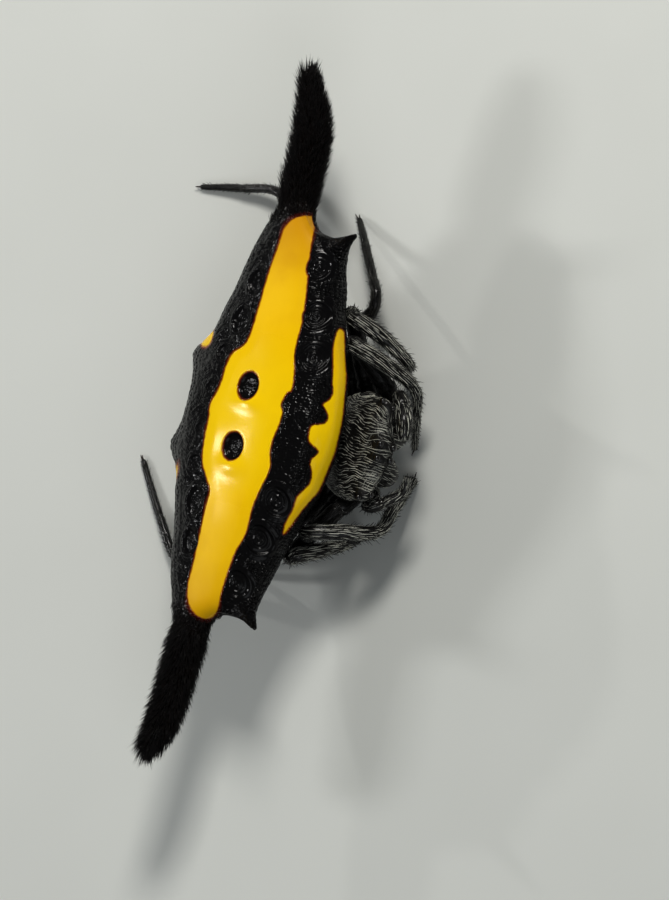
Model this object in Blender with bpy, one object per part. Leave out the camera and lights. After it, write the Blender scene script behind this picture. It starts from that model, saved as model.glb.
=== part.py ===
"""Spiny orb weaver, an adult female at life size, standing still on a floor.

Everything is modelled in the animal's own frame, in millimetres: x to its left, a to its
front, z up from the line through the roots of the two long side spines. The empty
"body_frame" pitches that frame nose up so that all eight feet stand on the floor, and
holds it over the origin. The head faces -Y.
"""
import bmesh
import bpy
import numpy as np
from math import atan, cos, pi, radians, sin
from mathutils import Matrix, Vector

MM = 0.001

# The floor, as a plane in the animal's frame: its depth under the origin and its rise per
# millimetre towards the rear.
FLOOR_DEPTH = 3.45
FLOOR_RISE = 0.25

# How far behind the middle of the model's box the animal's frame stands.
BODY_SETBACK = 0.05

# The hard shell of the abdomen, swept along x: distance from the middle, front edge, rear
# edge, height of the rim, rise of the back over the rim, depth of the belly under it.
SHELL_PROFILE = (
    (0.00, 3.45, -2.32, -0.15, 1.12, 1.42),
    (1.70, 3.20, -2.12, -0.15, 1.08, 1.38),
    (2.90, 2.64, -1.78, -0.13, 1.02, 1.28),
    (4.40, 2.18, -1.40, -0.10, 0.88, 1.08),
    (5.40, 2.12, -1.08, -0.05, 0.72, 0.85),
    (5.76, 2.12, -0.92, -0.02, 0.66, 0.76),
    (5.86, 1.75, -0.86, 0.00, 0.63, 0.70),
    (5.95, 0.92, -0.80, 0.00, 0.60, 0.62),
    (6.18, 0.60, -0.62, 0.00, 0.54, 0.54),
)
SHELL_STATIONS = 70
SHELL_SIDES_ABOVE = 24
SHELL_SIDES_BELOW = 12
SHELL_SQUARENESS = 0.90

# Sigilla, the pits on the back where muscles end: x, a, half width, half length. The pit's
# floor lies under the back and a rim stands round it.
SIGILLA = (
    (0.94, 0.72, 0.41, 0.38),
    (1.70, -0.73, 0.32, 0.36),
    (2.77, -0.31, 0.46, 0.42),
    (3.97, -0.22, 0.44, 0.36),
    (2.30, 2.40, 0.50, 0.40),
    (3.48, 2.08, 0.40, 0.32),
    (4.94, 1.72, 0.36, 0.30),
)
SIGILLUM_PIT = 0.13
SIGILLUM_RIM = 0.06

# The long side spines: points of the axis (x, a, z) and the core's radius there. Flat
# tapered locks of bristles stand all over the core, in rows set half a lock apart, and lean
# towards the tip.
SIDE_SPINE_LEFT = (
    (6.31, -0.01, 0.00, 0.53),
    (7.40, -0.02, 0.02, 0.51),
    (8.60, -0.06, 0.10, 0.52),
    (9.60, -0.16, 0.22, 0.42),
    (10.18, -0.28, 0.34, 0.26),
    (10.40, -0.33, 0.38, 0.14),
)
SIDE_SPINE_RIGHT = (
    (-6.31, -0.01, 0.00, 0.53),
    (-7.40, 0.01, 0.02, 0.50),
    (-8.60, 0.03, 0.10, 0.47),
    (-9.60, 0.04, 0.21, 0.43),
    (-10.14, 0.05, 0.28, 0.35),
    (-10.38, 0.06, 0.31, 0.22),
)
LOCK_ROWS = 8
LOCKS_IN_ROW = 6
LOCK_LENGTH = 0.44
LOCK_WIDTH = 0.36
LOCK_THICKNESS = 0.20
LOCK_LEAN_DEG = 34
LOCK_SINK = 0.12
LOCK_SEED = 7

# The short thorn on each front corner of the shell, and the blunt one at each rear corner:
# root, tip, radius at the root, radius at the tip, and how hollow the cone's side is.
FRONT_SPINE = ((5.70, 2.28, 0.12), (6.13, 2.95, 0.46), 0.34, 0.03, 0.30)
REAR_SPINE_LEFT = ((1.52, -2.37, -0.32), (1.55, -3.05, -0.44), 0.44, 0.17, 0.10)
REAR_SPINE_RIGHT = ((-1.32, -2.41, -0.32), (-1.32, -2.85, -0.41), 0.44, 0.17, 0.10)

# The spinneret cone under the shell: z of its root and of its blunt tip.
SPINNERET_PATH = ((0.0, -0.15, -1.70, 0.62), (0.0, -0.18, -2.05, 0.50), (0.0, -0.22, -2.50, 0.26))

# The prosoma, swept along a: position, half width, height of its margin, top and bottom.
PROSOMA_PROFILE = (
    (0.95, 0.42, -2.35, -2.02, -2.66),
    (1.30, 0.86, -2.25, -1.92, -2.88),
    (1.80, 1.24, -2.12, -1.76, -3.02),
    (2.40, 1.54, -1.98, -1.50, -3.05),
    (2.95, 1.68, -1.86, -1.26, -3.00),
    (3.14, 1.68, -1.80, -1.20, -2.86),
    (3.30, 1.68, -1.74, -1.16, -1.96),
    (3.70, 1.60, -1.64, -1.13, -1.84),
    (4.05, 1.36, -1.60, -1.22, -1.80),
    (4.28, 1.02, -1.60, -1.38, -1.80),
    (4.40, 0.64, -1.64, -1.52, -1.78),
)
PROSOMA_STATIONS = 30
PROSOMA_SIDES = 22
PEDICEL = ((0.0, 1.30, -2.35), (0.0, 1.42, -1.71), 0.34)

# Chelicerae and palps: x, a, z, radius along the axis.
CHELICERA_PATH = (
    (0.58, 3.82, -1.98, 0.42),
    (0.60, 3.84, -2.18, 0.49),
    (0.59, 3.83, -2.46, 0.47),
    (0.54, 3.78, -2.72, 0.35),
    (0.46, 3.72, -2.92, 0.16),
)
PALP_LEFT = (
    (1.32, 3.50, -2.66, 0.19),
    (1.60, 3.70, -2.46, 0.21),
    (1.76, 3.92, -2.16, 0.25),
    (1.44, 4.23, -2.06, 0.29),
    (0.98, 4.55, -1.94, 0.28),
    (0.46, 4.62, -2.02, 0.18),
)
PALP_RIGHT = (
    (-1.32, 3.50, -2.66, 0.19),
    (-1.54, 3.66, -2.38, 0.21),
    (-1.70, 3.88, -2.06, 0.22),
    (-1.50, 4.20, -2.28, 0.20),
    (-1.04, 4.60, -2.58, 0.19),
    (-0.52, 4.74, -2.44, 0.13),
)

# The legs, each as hip, thigh, end of the femur, end of the patella, middle of the tibia, its
# end, foot and tip. The foot is cut off flat at the floor, above the tip.
LEG_PATHS = {
    "leg_1_left": (
        (1.54, 3.00, -2.74), (2.02, 2.98, -2.42), (2.90, 2.34, -1.60), (2.90, 2.66, -1.16),
        (2.58, 3.38, -1.82), (2.12, 3.96, -2.68), (1.36, 3.84, -3.24), (0.30, 3.24, -4.28),
    ),
    "leg_1_right": (
        (-1.54, 3.00, -2.74), (-2.02, 2.98, -2.42), (-2.90, 2.32, -1.64), (-2.90, 2.62, -1.18),
        (-2.66, 3.34, -1.78), (-2.36, 3.96, -2.68), (-1.62, 3.84, -3.28), (-0.52, 3.46, -4.36),
    ),
    "leg_2_left": (
        (1.56, 2.26, -2.74), (2.02, 2.06, -2.60), (3.68, 1.72, -1.88), (3.74, 2.12, -1.36),
        (3.36, 2.84, -2.00), (2.80, 3.40, -2.78), (2.66, 2.96, -3.36), (2.56, 2.32, -4.08),
    ),
    "leg_2_right": (
        (-1.56, 2.26, -2.74), (-2.02, 2.10, -2.56), (-3.60, 1.70, -1.84), (-3.70, 2.10, -1.38),
        (-3.36, 2.46, -2.04), (-3.04, 2.64, -2.82), (-2.88, 2.50, -3.40), (-2.66, 2.28, -4.06),
    ),
    "leg_3_left": (
        (1.46, 1.50, -2.86), (1.90, 1.38, -2.80), (3.40, 1.34, -2.60), (4.10, 1.88, -2.36),
        (4.62, 1.90, -2.28), (5.02, 1.52, -2.44), (6.02, 0.40, -2.98), (6.74, -0.42, -3.38),
    ),
    "leg_3_right": (
        (-1.46, 1.54, -2.84), (-1.90, 1.34, -2.80), (-3.10, 0.95, -1.98), (-3.55, 0.72, -1.90),
        (-3.95, 0.48, -2.10), (-4.34, 0.20, -2.42), (-4.52, -0.36, -2.88), (-4.60, -0.92, -3.26),
    ),
    "leg_4_left": (
        (1.10, 0.86, -2.78), (1.48, 0.58, -2.66), (3.70, -0.34, -2.02), (4.30, -0.60, -1.96),
        (5.60, -1.50, -2.02), (6.86, -2.66, -2.12), (6.76, -4.20, -2.12), (6.50, -5.78, -2.04),
    ),
    "leg_4_right": (
        (-1.10, 0.86, -2.78), (-1.48, 0.52, -2.66), (-3.50, -0.20, -2.08), (-4.00, -0.50, -2.02),
        (-4.45, -1.70, -2.10), (-4.76, -3.08, -2.26), (-3.60, -4.20, -2.22), (-2.02, -5.38, -2.14),
    ),
}
LEG_RADII = (0.31, 0.33, 0.28, 0.27, 0.26, 0.22, 0.20, 0.13)
LEG_STEPS = 3
LEG_SIDES = 9

# Eyes: x, a, z of the centre and the radius. The middle four stand on one low hump.
EYES = {
    "eye_front_median": (0.20, 4.56, -1.68, 0.12),
    "eye_rear_median": (0.22, 4.39, -1.26, 0.12),
    "eye_front_lateral": (1.35, 4.25, -1.58, 0.10),
    "eye_rear_lateral": (1.50, 4.00, -1.34, 0.10),
}

COLOURS = {
    "shell": ((0.022, 0.018, 0.016), 0.22),
    "bristle": ((0.028, 0.018, 0.015), 0.55),
    "skin": ((0.045, 0.042, 0.038), 0.45),
    "leg": ((0.032, 0.027, 0.024), 0.40),
    "eye": ((0.008, 0.008, 0.010), 0.08),
}


def local(point):
    """A point (x, a, z) of the animal's frame in metres, as Blender axes."""
    return (point[0] * MM, -point[1] * MM, point[2] * MM)


def smooth_curve(keys, at):
    """Values of every column of keys at the positions in column 0, with no overshoot.

    Between two keys it is the cubic whose slope at each key is the harmonic mean of the
    slopes on either side, and zero at a peak or a dip.
    """
    keys = np.asarray(keys, float)
    x, y = keys[:, 0], keys[:, 1:]
    step = np.diff(x)[:, None]
    slope = np.diff(y, axis=0) / step
    both = slope[:-1] * slope[1:]
    mean = np.where(both > 0, 2 * both / np.where(both > 0, slope[:-1] + slope[1:], 1), 0)
    tangent = np.vstack([slope[:1], mean, slope[-1:]])
    tangent[0] = 0
    at = np.clip(np.asarray(at, float), x[0], x[-1])
    i = np.clip(np.searchsorted(x, at, side="right") - 1, 0, len(x) - 2)
    t = ((at - x[i]) / (x[i + 1] - x[i]))[:, None]
    return (
        (2 * t**3 - 3 * t**2 + 1) * y[i]
        + (t**3 - 2 * t**2 + t) * step[i] * tangent[i]
        + (3 * t**2 - 2 * t**3) * y[i + 1]
        + (t**3 - t**2) * step[i] * tangent[i + 1]
    )


def smooth_path(points, steps):
    """A smooth curve through the points, with steps points from each to the next."""
    p = np.asarray(points, float)
    ends = np.vstack([2 * p[0] - p[1], p, 2 * p[-1] - p[-2]])
    out = []
    for i in range(1, len(ends) - 2):
        for t in np.arange(steps) / steps:
            before, start, end, after = ends[i - 1:i + 3]
            out.append(0.5 * (
                2 * start + (end - before) * t
                + (2 * before - 5 * start + 4 * end - after) * t**2
                + (3 * start - before - 3 * end + after) * t**3
            ))
    out.append(p[-1])
    return np.array(out)


def rings_mesh(rings):
    """Vertices and faces of closed rings (n, m, 3), capped by a fan at each end."""
    n, m = rings.shape[:2]
    verts = [tuple(v) for v in rings.reshape(-1, 3)]
    verts += [tuple(rings[0].mean(axis=0)), tuple(rings[-1].mean(axis=0))]
    faces = []
    for i in range(n - 1):
        for j in range(m):
            k = (j + 1) % m
            faces.append((i * m + j, i * m + k, (i + 1) * m + k, (i + 1) * m + j))
    for j in range(m):
        k = (j + 1) % m
        faces.append((n * m, k, j))
        faces.append((n * m + 1, (n - 1) * m + j, (n - 1) * m + k))
    return verts, faces


def solid(name, look, verts, faces):
    """A closed object from points of the animal's frame, facing out, in its own colour."""
    mesh = bpy.data.meshes.new(name)
    mesh.from_pydata([local(v) for v in verts], [], faces)
    work = bmesh.new()
    work.from_mesh(mesh)
    bmesh.ops.recalc_face_normals(work, faces=work.faces)
    work.to_mesh(mesh)
    work.free()
    mesh.shade_smooth()
    obj = bpy.data.objects.new(name, mesh)
    bpy.context.scene.collection.objects.link(obj)
    obj.data.materials.append(material(name, look))
    return obj


def material(name, look):
    """One Principled material for one part."""
    colour, roughness = COLOURS[look]
    mat = bpy.data.materials.new(name)
    mat.use_nodes = True
    mat.diffuse_color = (*colour, 1.0)
    shader = mat.node_tree.nodes["Principled BSDF"]
    shader.inputs["Base Color"].default_value = (*colour, 1.0)
    shader.inputs["Roughness"].default_value = roughness
    shader.inputs["Metallic"].default_value = 0.0
    return mat


def tube(name, look, path, radii, sides):
    """A round tube along a path, its rings carried along without twist."""
    path = np.asarray(path, float)
    along = np.gradient(path, axis=0)
    along /= np.linalg.norm(along, axis=1)[:, None]
    side = np.cross(along[0], (0.13, 0.29, 0.95))
    angles = 2 * pi * np.arange(sides) / sides
    rings = []
    for centre, direction, radius in zip(path, along, radii):
        side = side - direction * np.dot(side, direction)
        side /= np.linalg.norm(side)
        other = np.cross(direction, side)
        ring = np.outer(np.cos(angles), side) + np.outer(np.sin(angles), other)
        rings.append(centre + radius * ring)
    return solid(name, look, *rings_mesh(np.array(rings)))


def round_end(path, radii, caps=3):
    """The path with its last ring carried on into a rounded end as deep as its radius."""
    direction = path[-1] - path[-2]
    direction = direction / np.linalg.norm(direction)
    turn = np.linspace(0, 0.44 * pi, caps + 1)[1:]
    extra = path[-1] + np.outer(np.sin(turn) * radii[-1], direction)
    return np.vstack([path, extra]), np.concatenate([radii, radii[-1] * np.cos(turn)])


def swept(name, look, keys, steps, sides):
    """A tube through keys of (x, a, z, radius), with a rounded far end."""
    curve = smooth_path(keys, steps)
    path, radii = round_end(curve[:, :3], curve[:, 3])
    return tube(name, look, path, radii, sides)


def fuse(body, pieces):
    """Joins pieces to a body by one Boolean union and drops all but the largest surface."""
    group = bpy.data.collections.new(body.name + "_pieces")
    bpy.context.scene.collection.children.link(group)
    for piece in pieces:
        bpy.context.scene.collection.objects.unlink(piece)
        group.objects.link(piece)
    union = body.modifiers.new("union", "BOOLEAN")
    union.operation = "UNION"
    union.operand_type = "COLLECTION"
    union.collection = group
    union.solver = "EXACT"
    evaluated = body.evaluated_get(bpy.context.evaluated_depsgraph_get())
    fused = bpy.data.meshes.new_from_object(evaluated)
    body.modifiers.clear()
    body.data = fused
    for piece in pieces:
        bpy.data.objects.remove(piece, do_unlink=True)
    bpy.data.collections.remove(group)
    keep_largest(body.data)
    body.data.shade_smooth()
    return body


def keep_largest(mesh):
    """Removes every separate surface of a mesh but the one with the most faces."""
    work = bmesh.new()
    work.from_mesh(mesh)
    left = set(work.faces)
    groups = []
    while left:
        group = [left.pop()]
        for face in group:
            near = {f for edge in face.edges for f in edge.link_faces} & left
            left -= near
            group.extend(near)
        groups.append(group)
    groups.sort(key=len)
    for group in groups[:-1]:
        bmesh.ops.delete(work, geom=group, context="FACES")
    work.to_mesh(mesh)
    work.free()


def shell_stations():
    """Positions along x, closer together where the shell turns in at its front corners."""
    even = np.linspace(0, 1, SHELL_STATIONS // 2 + 1)
    x = SHELL_PROFILE[-1][0] * (1.28 * even - 0.28 * even**2.6)
    return np.concatenate([-x[:0:-1], x])


def sigilla_relief(x, a):
    """Height added to the back by the pits and their rims at the points x, a."""
    relief = np.zeros_like(x)
    for centre_x, centre_a, half_x, half_a in SIGILLA:
        far = np.hypot((np.abs(x) - centre_x) / half_x, (a - centre_a) / half_a)
        relief -= SIGILLUM_PIT * np.exp(-(far / 0.72) ** 4)
        relief += SIGILLUM_RIM * np.exp(-(((far - 1.08) / 0.30) ** 2))
    return relief


def make_abdomen():
    """The wide shell: a rounded section swept from side to side, with pits on its back."""
    x = shell_stations()
    front, rear, rim, back, belly = smooth_curve(SHELL_PROFILE, np.abs(x)).T[:, :, None]
    above = pi * np.arange(SHELL_SIDES_ABOVE) / SHELL_SIDES_ABOVE
    below = pi + pi * np.arange(SHELL_SIDES_BELOW) / SHELL_SIDES_BELOW
    turn = np.concatenate([above, below])[None, :]
    c, s = np.cos(turn), np.sin(turn)
    across = np.sign(c) * np.abs(c) ** SHELL_SQUARENESS
    up = np.sign(s) * np.abs(s) ** SHELL_SQUARENESS
    a = (front + rear) / 2 + (front - rear) / 2 * across
    z = rim + np.where(s > 0, back, belly) * up
    xs = np.broadcast_to(x[:, None], a.shape)
    z = z + np.where(s > 0, s, 0) * sigilla_relief(xs, a)
    return solid("abdomen", "shell", *rings_mesh(np.stack([xs, a, z], axis=-1)))


def make_lock(root, radial, along, rng):
    """One flat lock: three diamond sections and a point, bending towards the spine's tip."""
    lean = radians(LOCK_LEAN_DEG + rng.uniform(-7, 7))
    length = LOCK_LENGTH * rng.uniform(0.85, 1.15)
    out = sin(lean) * radial + cos(lean) * along
    flat = np.cross(along, radial)
    edge = np.cross(out, flat)
    sections = []
    for share, width, bend in ((0.0, 0.80, 0.0), (0.40, 1.0, 0.02), (0.75, 0.62, 0.05)):
        centre = root + out * length * share + along * length * bend
        half_w, half_t = width * LOCK_WIDTH / 2, width * LOCK_THICKNESS / 2
        sections.append([
            centre + flat * half_w, centre + edge * half_t,
            centre - flat * half_w, centre - edge * half_t,
        ])
    tip = root + out * length + along * length * 0.12
    verts = [tuple(v) for section in sections for v in section] + [tuple(tip)]
    faces = [(0, 1, 2, 3)]
    for row in (0, 4):
        for j in range(4):
            k = (j + 1) % 4
            faces.append((row + j, row + k, row + 4 + k, row + 4 + j))
    faces += [(8 + j, 8 + (j + 1) % 4, 12) for j in range(4)]
    return solid("lock", "bristle", verts, faces)


def make_side_spine(name, keys):
    """A bristly side spine: a round core with rows of locks out to a ragged end."""
    rng = np.random.default_rng(LOCK_SEED)
    core = swept(name, "bristle", keys, 2, 12)
    curve = smooth_path(keys, 24)
    reach = np.abs(curve[:, 0] - curve[0, 0])
    locks = []
    for row in range(LOCK_ROWS):
        i = int(np.searchsorted(reach, reach[-2] * (row + 0.7) / (LOCK_ROWS - 0.3)))
        along = curve[i + 1, :3] - curve[i - 1, :3]
        along /= np.linalg.norm(along)
        side = np.cross(along, (0, 0, 1))
        side /= np.linalg.norm(side)
        other = np.cross(side, along)
        for n in range(LOCKS_IN_ROW):
            angle = 2 * pi * (n + 0.5 * (row % 2) + rng.uniform(-0.12, 0.12)) / LOCKS_IN_ROW
            radial = cos(angle) * side + sin(angle) * other
            root = curve[i, :3] + radial * (curve[i, 3] - LOCK_SINK)
            locks.append(make_lock(root, radial, along, rng))
    return fuse(core, locks)


def make_prosoma():
    """Carapace and breast plate in one, with the short stalk that meets the abdomen."""
    keys = np.array(PROSOMA_PROFILE)
    a = np.linspace(keys[0, 0], keys[-1, 0], PROSOMA_STATIONS)
    width, margin, top, bottom = smooth_curve(keys, a).T[:, :, None]
    turn = 2 * pi * np.arange(PROSOMA_SIDES)[None, :] / PROSOMA_SIDES
    c, s = np.cos(turn), np.sin(turn)
    taper = np.where(s > 0, 0.85, 1.6)
    x = width * np.sign(c) * np.abs(c) ** taper
    z = margin + np.where(s > 0, top - margin, margin - bottom) * s
    rings = np.stack([x, np.broadcast_to(a[:, None], x.shape), z], axis=-1)
    body = solid("prosoma", "skin", *rings_mesh(rings))
    start, end, radius = PEDICEL
    stalk = tube("stalk", "skin", [start, end], [radius, radius], 12)
    return fuse(body, [stalk])


def make_cone(name, look, root, tip, wide, narrow, hollow):
    """A thorn whose side curves in from its wide root, with a rounded tip."""
    t = np.linspace(0, 1, 8)[:, None]
    path = np.array(root) * (1 - t) + np.array(tip) * t
    fade = (1 - t[:, 0]) ** (1 + 2 * hollow)
    path, radii = round_end(path, narrow + (wide - narrow) * fade, caps=2)
    return tube(name, look, path, radii, 14)


def mirrored(keys):
    """The same points on the other side of the body."""
    return tuple((-key[0], *key[1:]) for key in keys)


def make_leg(name, keys):
    """One leg from hip to foot, cut off flat where it meets the floor."""
    joined = np.column_stack([np.array(keys), LEG_RADII])
    leg = swept(name, "leg", joined, LEG_STEPS, LEG_SIDES)
    work = bmesh.new()
    work.from_mesh(leg.data)
    cut = bmesh.ops.bisect_plane(
        work,
        geom=work.verts[:] + work.edges[:] + work.faces[:],
        dist=1e-7,
        plane_co=(0, 0, -FLOOR_DEPTH * MM),
        plane_no=Vector((0, FLOOR_RISE, -1)).normalized(),
        clear_outer=True,
    )
    edges = [item for item in cut["geom_cut"] if isinstance(item, bmesh.types.BMEdge)]
    bmesh.ops.edgeloop_fill(work, edges=edges)
    bmesh.ops.triangulate(work, faces=[f for f in work.faces if len(f.verts) > 4])
    bmesh.ops.recalc_face_normals(work, faces=work.faces)
    work.to_mesh(leg.data)
    work.free()
    return leg


def make_eye(name, x, a, z, radius):
    """A small round eye."""
    bpy.ops.mesh.primitive_uv_sphere_add(segments=10, ring_count=6, radius=radius * MM)
    eye = bpy.context.object
    eye.name = name
    eye.data.name = name
    eye.data.transform(Matrix.Translation(local((x, a, z))))
    eye.data.shade_smooth()
    eye.data.materials.append(material(name, "eye"))
    return eye


def set_on_floor(parts):
    """Pitches all parts nose up, with the floor at z = 0 and their box over the origin."""
    frame = bpy.data.objects.new("body_frame", None)
    bpy.context.scene.collection.objects.link(frame)
    pitch = atan(FLOOR_RISE)
    frame.rotation_euler = (-pitch, 0, 0)
    frame.location = (0, BODY_SETBACK * MM, FLOOR_DEPTH * cos(pitch) * MM)
    for part in parts:
        part.parent = frame


def main():
    for old in list(bpy.data.objects):
        bpy.data.objects.remove(old, do_unlink=True)
    parts = [make_abdomen(), make_prosoma()]
    parts.append(make_side_spine("spine_side_left", SIDE_SPINE_LEFT))
    parts.append(make_side_spine("spine_side_right", SIDE_SPINE_RIGHT))
    root, tip, *shape = FRONT_SPINE
    parts.append(make_cone("spine_front_left", "shell", root, tip, *shape))
    parts.append(make_cone("spine_front_right", "shell", *mirrored((root, tip)), *shape))
    parts.append(make_cone("spine_rear_left", "shell", *REAR_SPINE_LEFT))
    parts.append(make_cone("spine_rear_right", "shell", *REAR_SPINE_RIGHT))
    parts.append(swept("spinnerets", "skin", SPINNERET_PATH, 3, 14))
    parts.append(swept("chelicera_left", "skin", CHELICERA_PATH, 3, 12))
    parts.append(swept("chelicera_right", "skin", mirrored(CHELICERA_PATH), 3, 12))
    parts.append(swept("pedipalp_left", "leg", PALP_LEFT, 3, 10))
    parts.append(swept("pedipalp_right", "leg", PALP_RIGHT, 3, 10))
    parts += [make_leg(name, keys) for name, keys in LEG_PATHS.items()]
    for name, (x, a, z, radius) in EYES.items():
        parts.append(make_eye(name + "_left", x, a, z, radius))
        parts.append(make_eye(name + "_right", -x, a, z, radius))
    set_on_floor(parts)


main()
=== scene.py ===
# %% [markdown]
# # A spiny orb weaver
# The model is a small spider with a wide, hard abdomen: a black shell with a yellow band
# across it, two long bristly spines at its sides, four short thorns, and a hairy front body
# tucked under the shell's front edge. It is about 22 mm wide.
#
# The solids are already packed as a frame. This lesson dresses them: each piece is a surface
# computed with numpy as a function of two numbers, and each finish is a small node tree.
# Everything is worked out in the animal's own frame in millimetres (x to its left, a to its
# front, z up) and is turned onto the floor at the very end.

import bpy
import numpy as np
from math import atan, pi, radians
from mathutils import Matrix


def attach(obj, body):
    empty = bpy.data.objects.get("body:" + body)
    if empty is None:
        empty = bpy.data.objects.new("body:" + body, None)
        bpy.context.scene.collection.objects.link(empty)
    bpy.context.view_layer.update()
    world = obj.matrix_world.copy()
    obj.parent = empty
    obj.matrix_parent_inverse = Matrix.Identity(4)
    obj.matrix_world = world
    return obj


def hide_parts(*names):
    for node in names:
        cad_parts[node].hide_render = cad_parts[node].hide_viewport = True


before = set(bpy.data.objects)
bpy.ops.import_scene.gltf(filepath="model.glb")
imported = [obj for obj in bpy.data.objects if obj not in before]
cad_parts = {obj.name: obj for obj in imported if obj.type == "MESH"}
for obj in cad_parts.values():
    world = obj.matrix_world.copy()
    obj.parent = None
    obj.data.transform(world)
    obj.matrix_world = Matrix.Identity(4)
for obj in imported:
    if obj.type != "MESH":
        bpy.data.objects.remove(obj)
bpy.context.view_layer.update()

# %% [markdown]
# ## From the animal's frame to the floor
# The spider stands a little nose up, so that all eight feet reach the floor. One function
# turns and lifts any array of points, which lets every other cell think in the animal's own
# directions.

# %% Place points on the floor
MM = 0.001
FLOOR_RISE = 0.25
FLOOR_DEPTH = 3.45
BODY_SETBACK = 0.05
PITCH = atan(FLOOR_RISE)


def place(points):
    """Points (x, a, z) in mm to metres: y = -a cos + z sin, height = a sin + z cos, lifted."""
    x, a, z = np.moveaxis(np.asarray(points, float), -1, 0)
    c, s = np.cos(PITCH), np.sin(PITCH)
    return np.stack([x, -a * c + z * s + BODY_SETBACK, a * s + (z + FLOOR_DEPTH) * c], -1) * MM


def unit(vectors):
    """Vectors divided by their own length."""
    size = np.linalg.norm(vectors, axis=-1, keepdims=True)
    return vectors / np.where(size > 1e-12, size, 1)


def square_to(vectors, axis):
    """The part of the vectors that is at right angles to a unit axis, at length 1."""
    return unit(vectors - axis * np.sum(vectors * axis, axis=-1, keepdims=True))


def eased(values, low, high):
    """0 below low, 1 above high, and the smooth cubic 3t^2 - 2t^3 between them."""
    t = np.clip((values - low) / (high - low), 0, 1)
    return t * t * (3 - 2 * t)


print("pitch (degrees):", round(np.degrees(PITCH), 2))

# %% [markdown]
# ## Camera
# The photograph looks down at the spider from ahead and above: 50 degrees above its body
# line, with its left side towards the top of the picture, turned clockwise by about 14
# degrees. A long lens from far away keeps the two spines the same size, as a macro
# photograph does. A gamma of 0.8 gives the picture the photograph's deep blacks.

# %% Camera
VIEW_HEIGHT_DEG = 50
PICTURE_TURN = (0.248, 0.969)
PICTURE_CENTRE = (-0.297, 2.876)
PICTURE_HEIGHT = 27.27
CAMERA_DISTANCE = 420.0
SENSOR = 24.0
CLIP_START = 0.02
CONTRAST_GAMMA = 0.80

view_h = radians(VIEW_HEIGHT_DEG)
ACROSS = np.array([1.0, 0, 0])
DOWNSLOPE = np.array([0, np.sin(view_h), -np.cos(view_h)])
TO_CAMERA = np.array([0, np.cos(view_h), np.sin(view_h)])


def direction(vector):
    """A direction of the animal's frame as one of the floor's frame."""
    return unit(place(vector) - place(np.zeros(3)))


picture_right = PICTURE_TURN[0] * ACROSS + PICTURE_TURN[1] * DOWNSLOPE
picture_up = PICTURE_TURN[1] * ACROSS - PICTURE_TURN[0] * DOWNSLOPE
aim = PICTURE_CENTRE[0] * ACROSS + PICTURE_CENTRE[1] * DOWNSLOPE
camera_data = bpy.data.cameras.new("camera")
camera_data.sensor_fit = "VERTICAL"
camera_data.sensor_height = SENSOR
camera_data.lens = SENSOR * CAMERA_DISTANCE / PICTURE_HEIGHT
camera_data.clip_start = CLIP_START
camera = bpy.data.objects.new("camera", camera_data)
bpy.context.scene.collection.objects.link(camera)
axes = np.column_stack([direction(picture_right), direction(picture_up), direction(TO_CAMERA)])
camera_spot = place(aim + TO_CAMERA * CAMERA_DISTANCE)
camera.matrix_world = Matrix.Translation(camera_spot) @ Matrix(axes.tolist()).to_4x4()
bpy.context.scene.camera = camera
bpy.context.scene.view_settings.view_transform = "Standard"
bpy.context.scene.view_settings.gamma = CONTRAST_GAMMA
print("lens (mm):", round(camera_data.lens, 1), "height over floor (m):", round(camera.location.z, 3))

# %% [markdown]
# ## Making meshes from arrays
# A surface is a grid of points: rows along the body, columns round it. The helper below turns
# such a grid into a closed mesh, with a fan at each end, and checks by its volume that the
# faces point outwards. Per-point numbers, such as how far a point lies inside the yellow
# band, go along as attributes that the finishes can read.

# %% One mesh from points and faces
def mesh_piece(name, points, quads, triangles, numbers=None, corner_uv=None, uv_name="UVMap"):
    """A mesh object from points in mm; corners are turned round if its volume is negative."""
    spots = place(points)
    first = spots[triangles[:, 0]], spots[triangles[:, 1]], spots[triangles[:, 2]]
    volume = np.einsum("ij,ij->i", first[0], np.cross(first[1], first[2])).sum()
    if len(quads):
        p, q, r, s = (spots[quads[:, k]] for k in range(4))
        volume += np.einsum("ij,ij->i", p, np.cross(q, r) + np.cross(r, s)).sum()
    if volume < 0:
        quads, triangles = quads[:, ::-1], triangles[:, ::-1]
        if corner_uv is not None:
            split = quads.size
            of_quads = corner_uv[:split].reshape(-1, 4, 2)[:, ::-1].reshape(-1, 2)
            of_triangles = corner_uv[split:].reshape(-1, 3, 2)[:, ::-1].reshape(-1, 2)
            corner_uv = np.vstack([of_quads, of_triangles])
    corners = np.concatenate([quads.ravel(), triangles.ravel()]).astype(np.int32)
    sizes = np.concatenate([np.full(len(quads), 4), np.full(len(triangles), 3)])
    mesh = bpy.data.meshes.new(name)
    mesh.vertices.add(len(spots))
    mesh.vertices.foreach_set("co", spots.astype(np.float32).ravel())
    mesh.loops.add(len(corners))
    mesh.loops.foreach_set("vertex_index", corners)
    mesh.polygons.add(len(sizes))
    mesh.polygons.foreach_set("loop_start", (np.cumsum(sizes) - sizes).astype(np.int32))
    for key, values in (numbers or {}).items():
        layer = mesh.attributes.new(key, "FLOAT", "POINT")
        layer.data.foreach_set("value", np.asarray(values, np.float32).ravel())
    if corner_uv is not None:
        layer = mesh.uv_layers.new(name=uv_name)
        layer.uv.foreach_set("vector", np.asarray(corner_uv, np.float32).ravel())
    mesh.update(calc_edges=True)
    mesh.validate()
    mesh.shade_smooth()
    obj = bpy.data.objects.new(name, mesh)
    bpy.context.scene.collection.objects.link(obj)
    return obj


print("mesh helper ready")

# %% [markdown]
# A body, a leg or a thorn is always the same thing: rings of points one behind the other. The
# next cell joins the rings, closes both ends with a fan and unwraps the tube.

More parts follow.
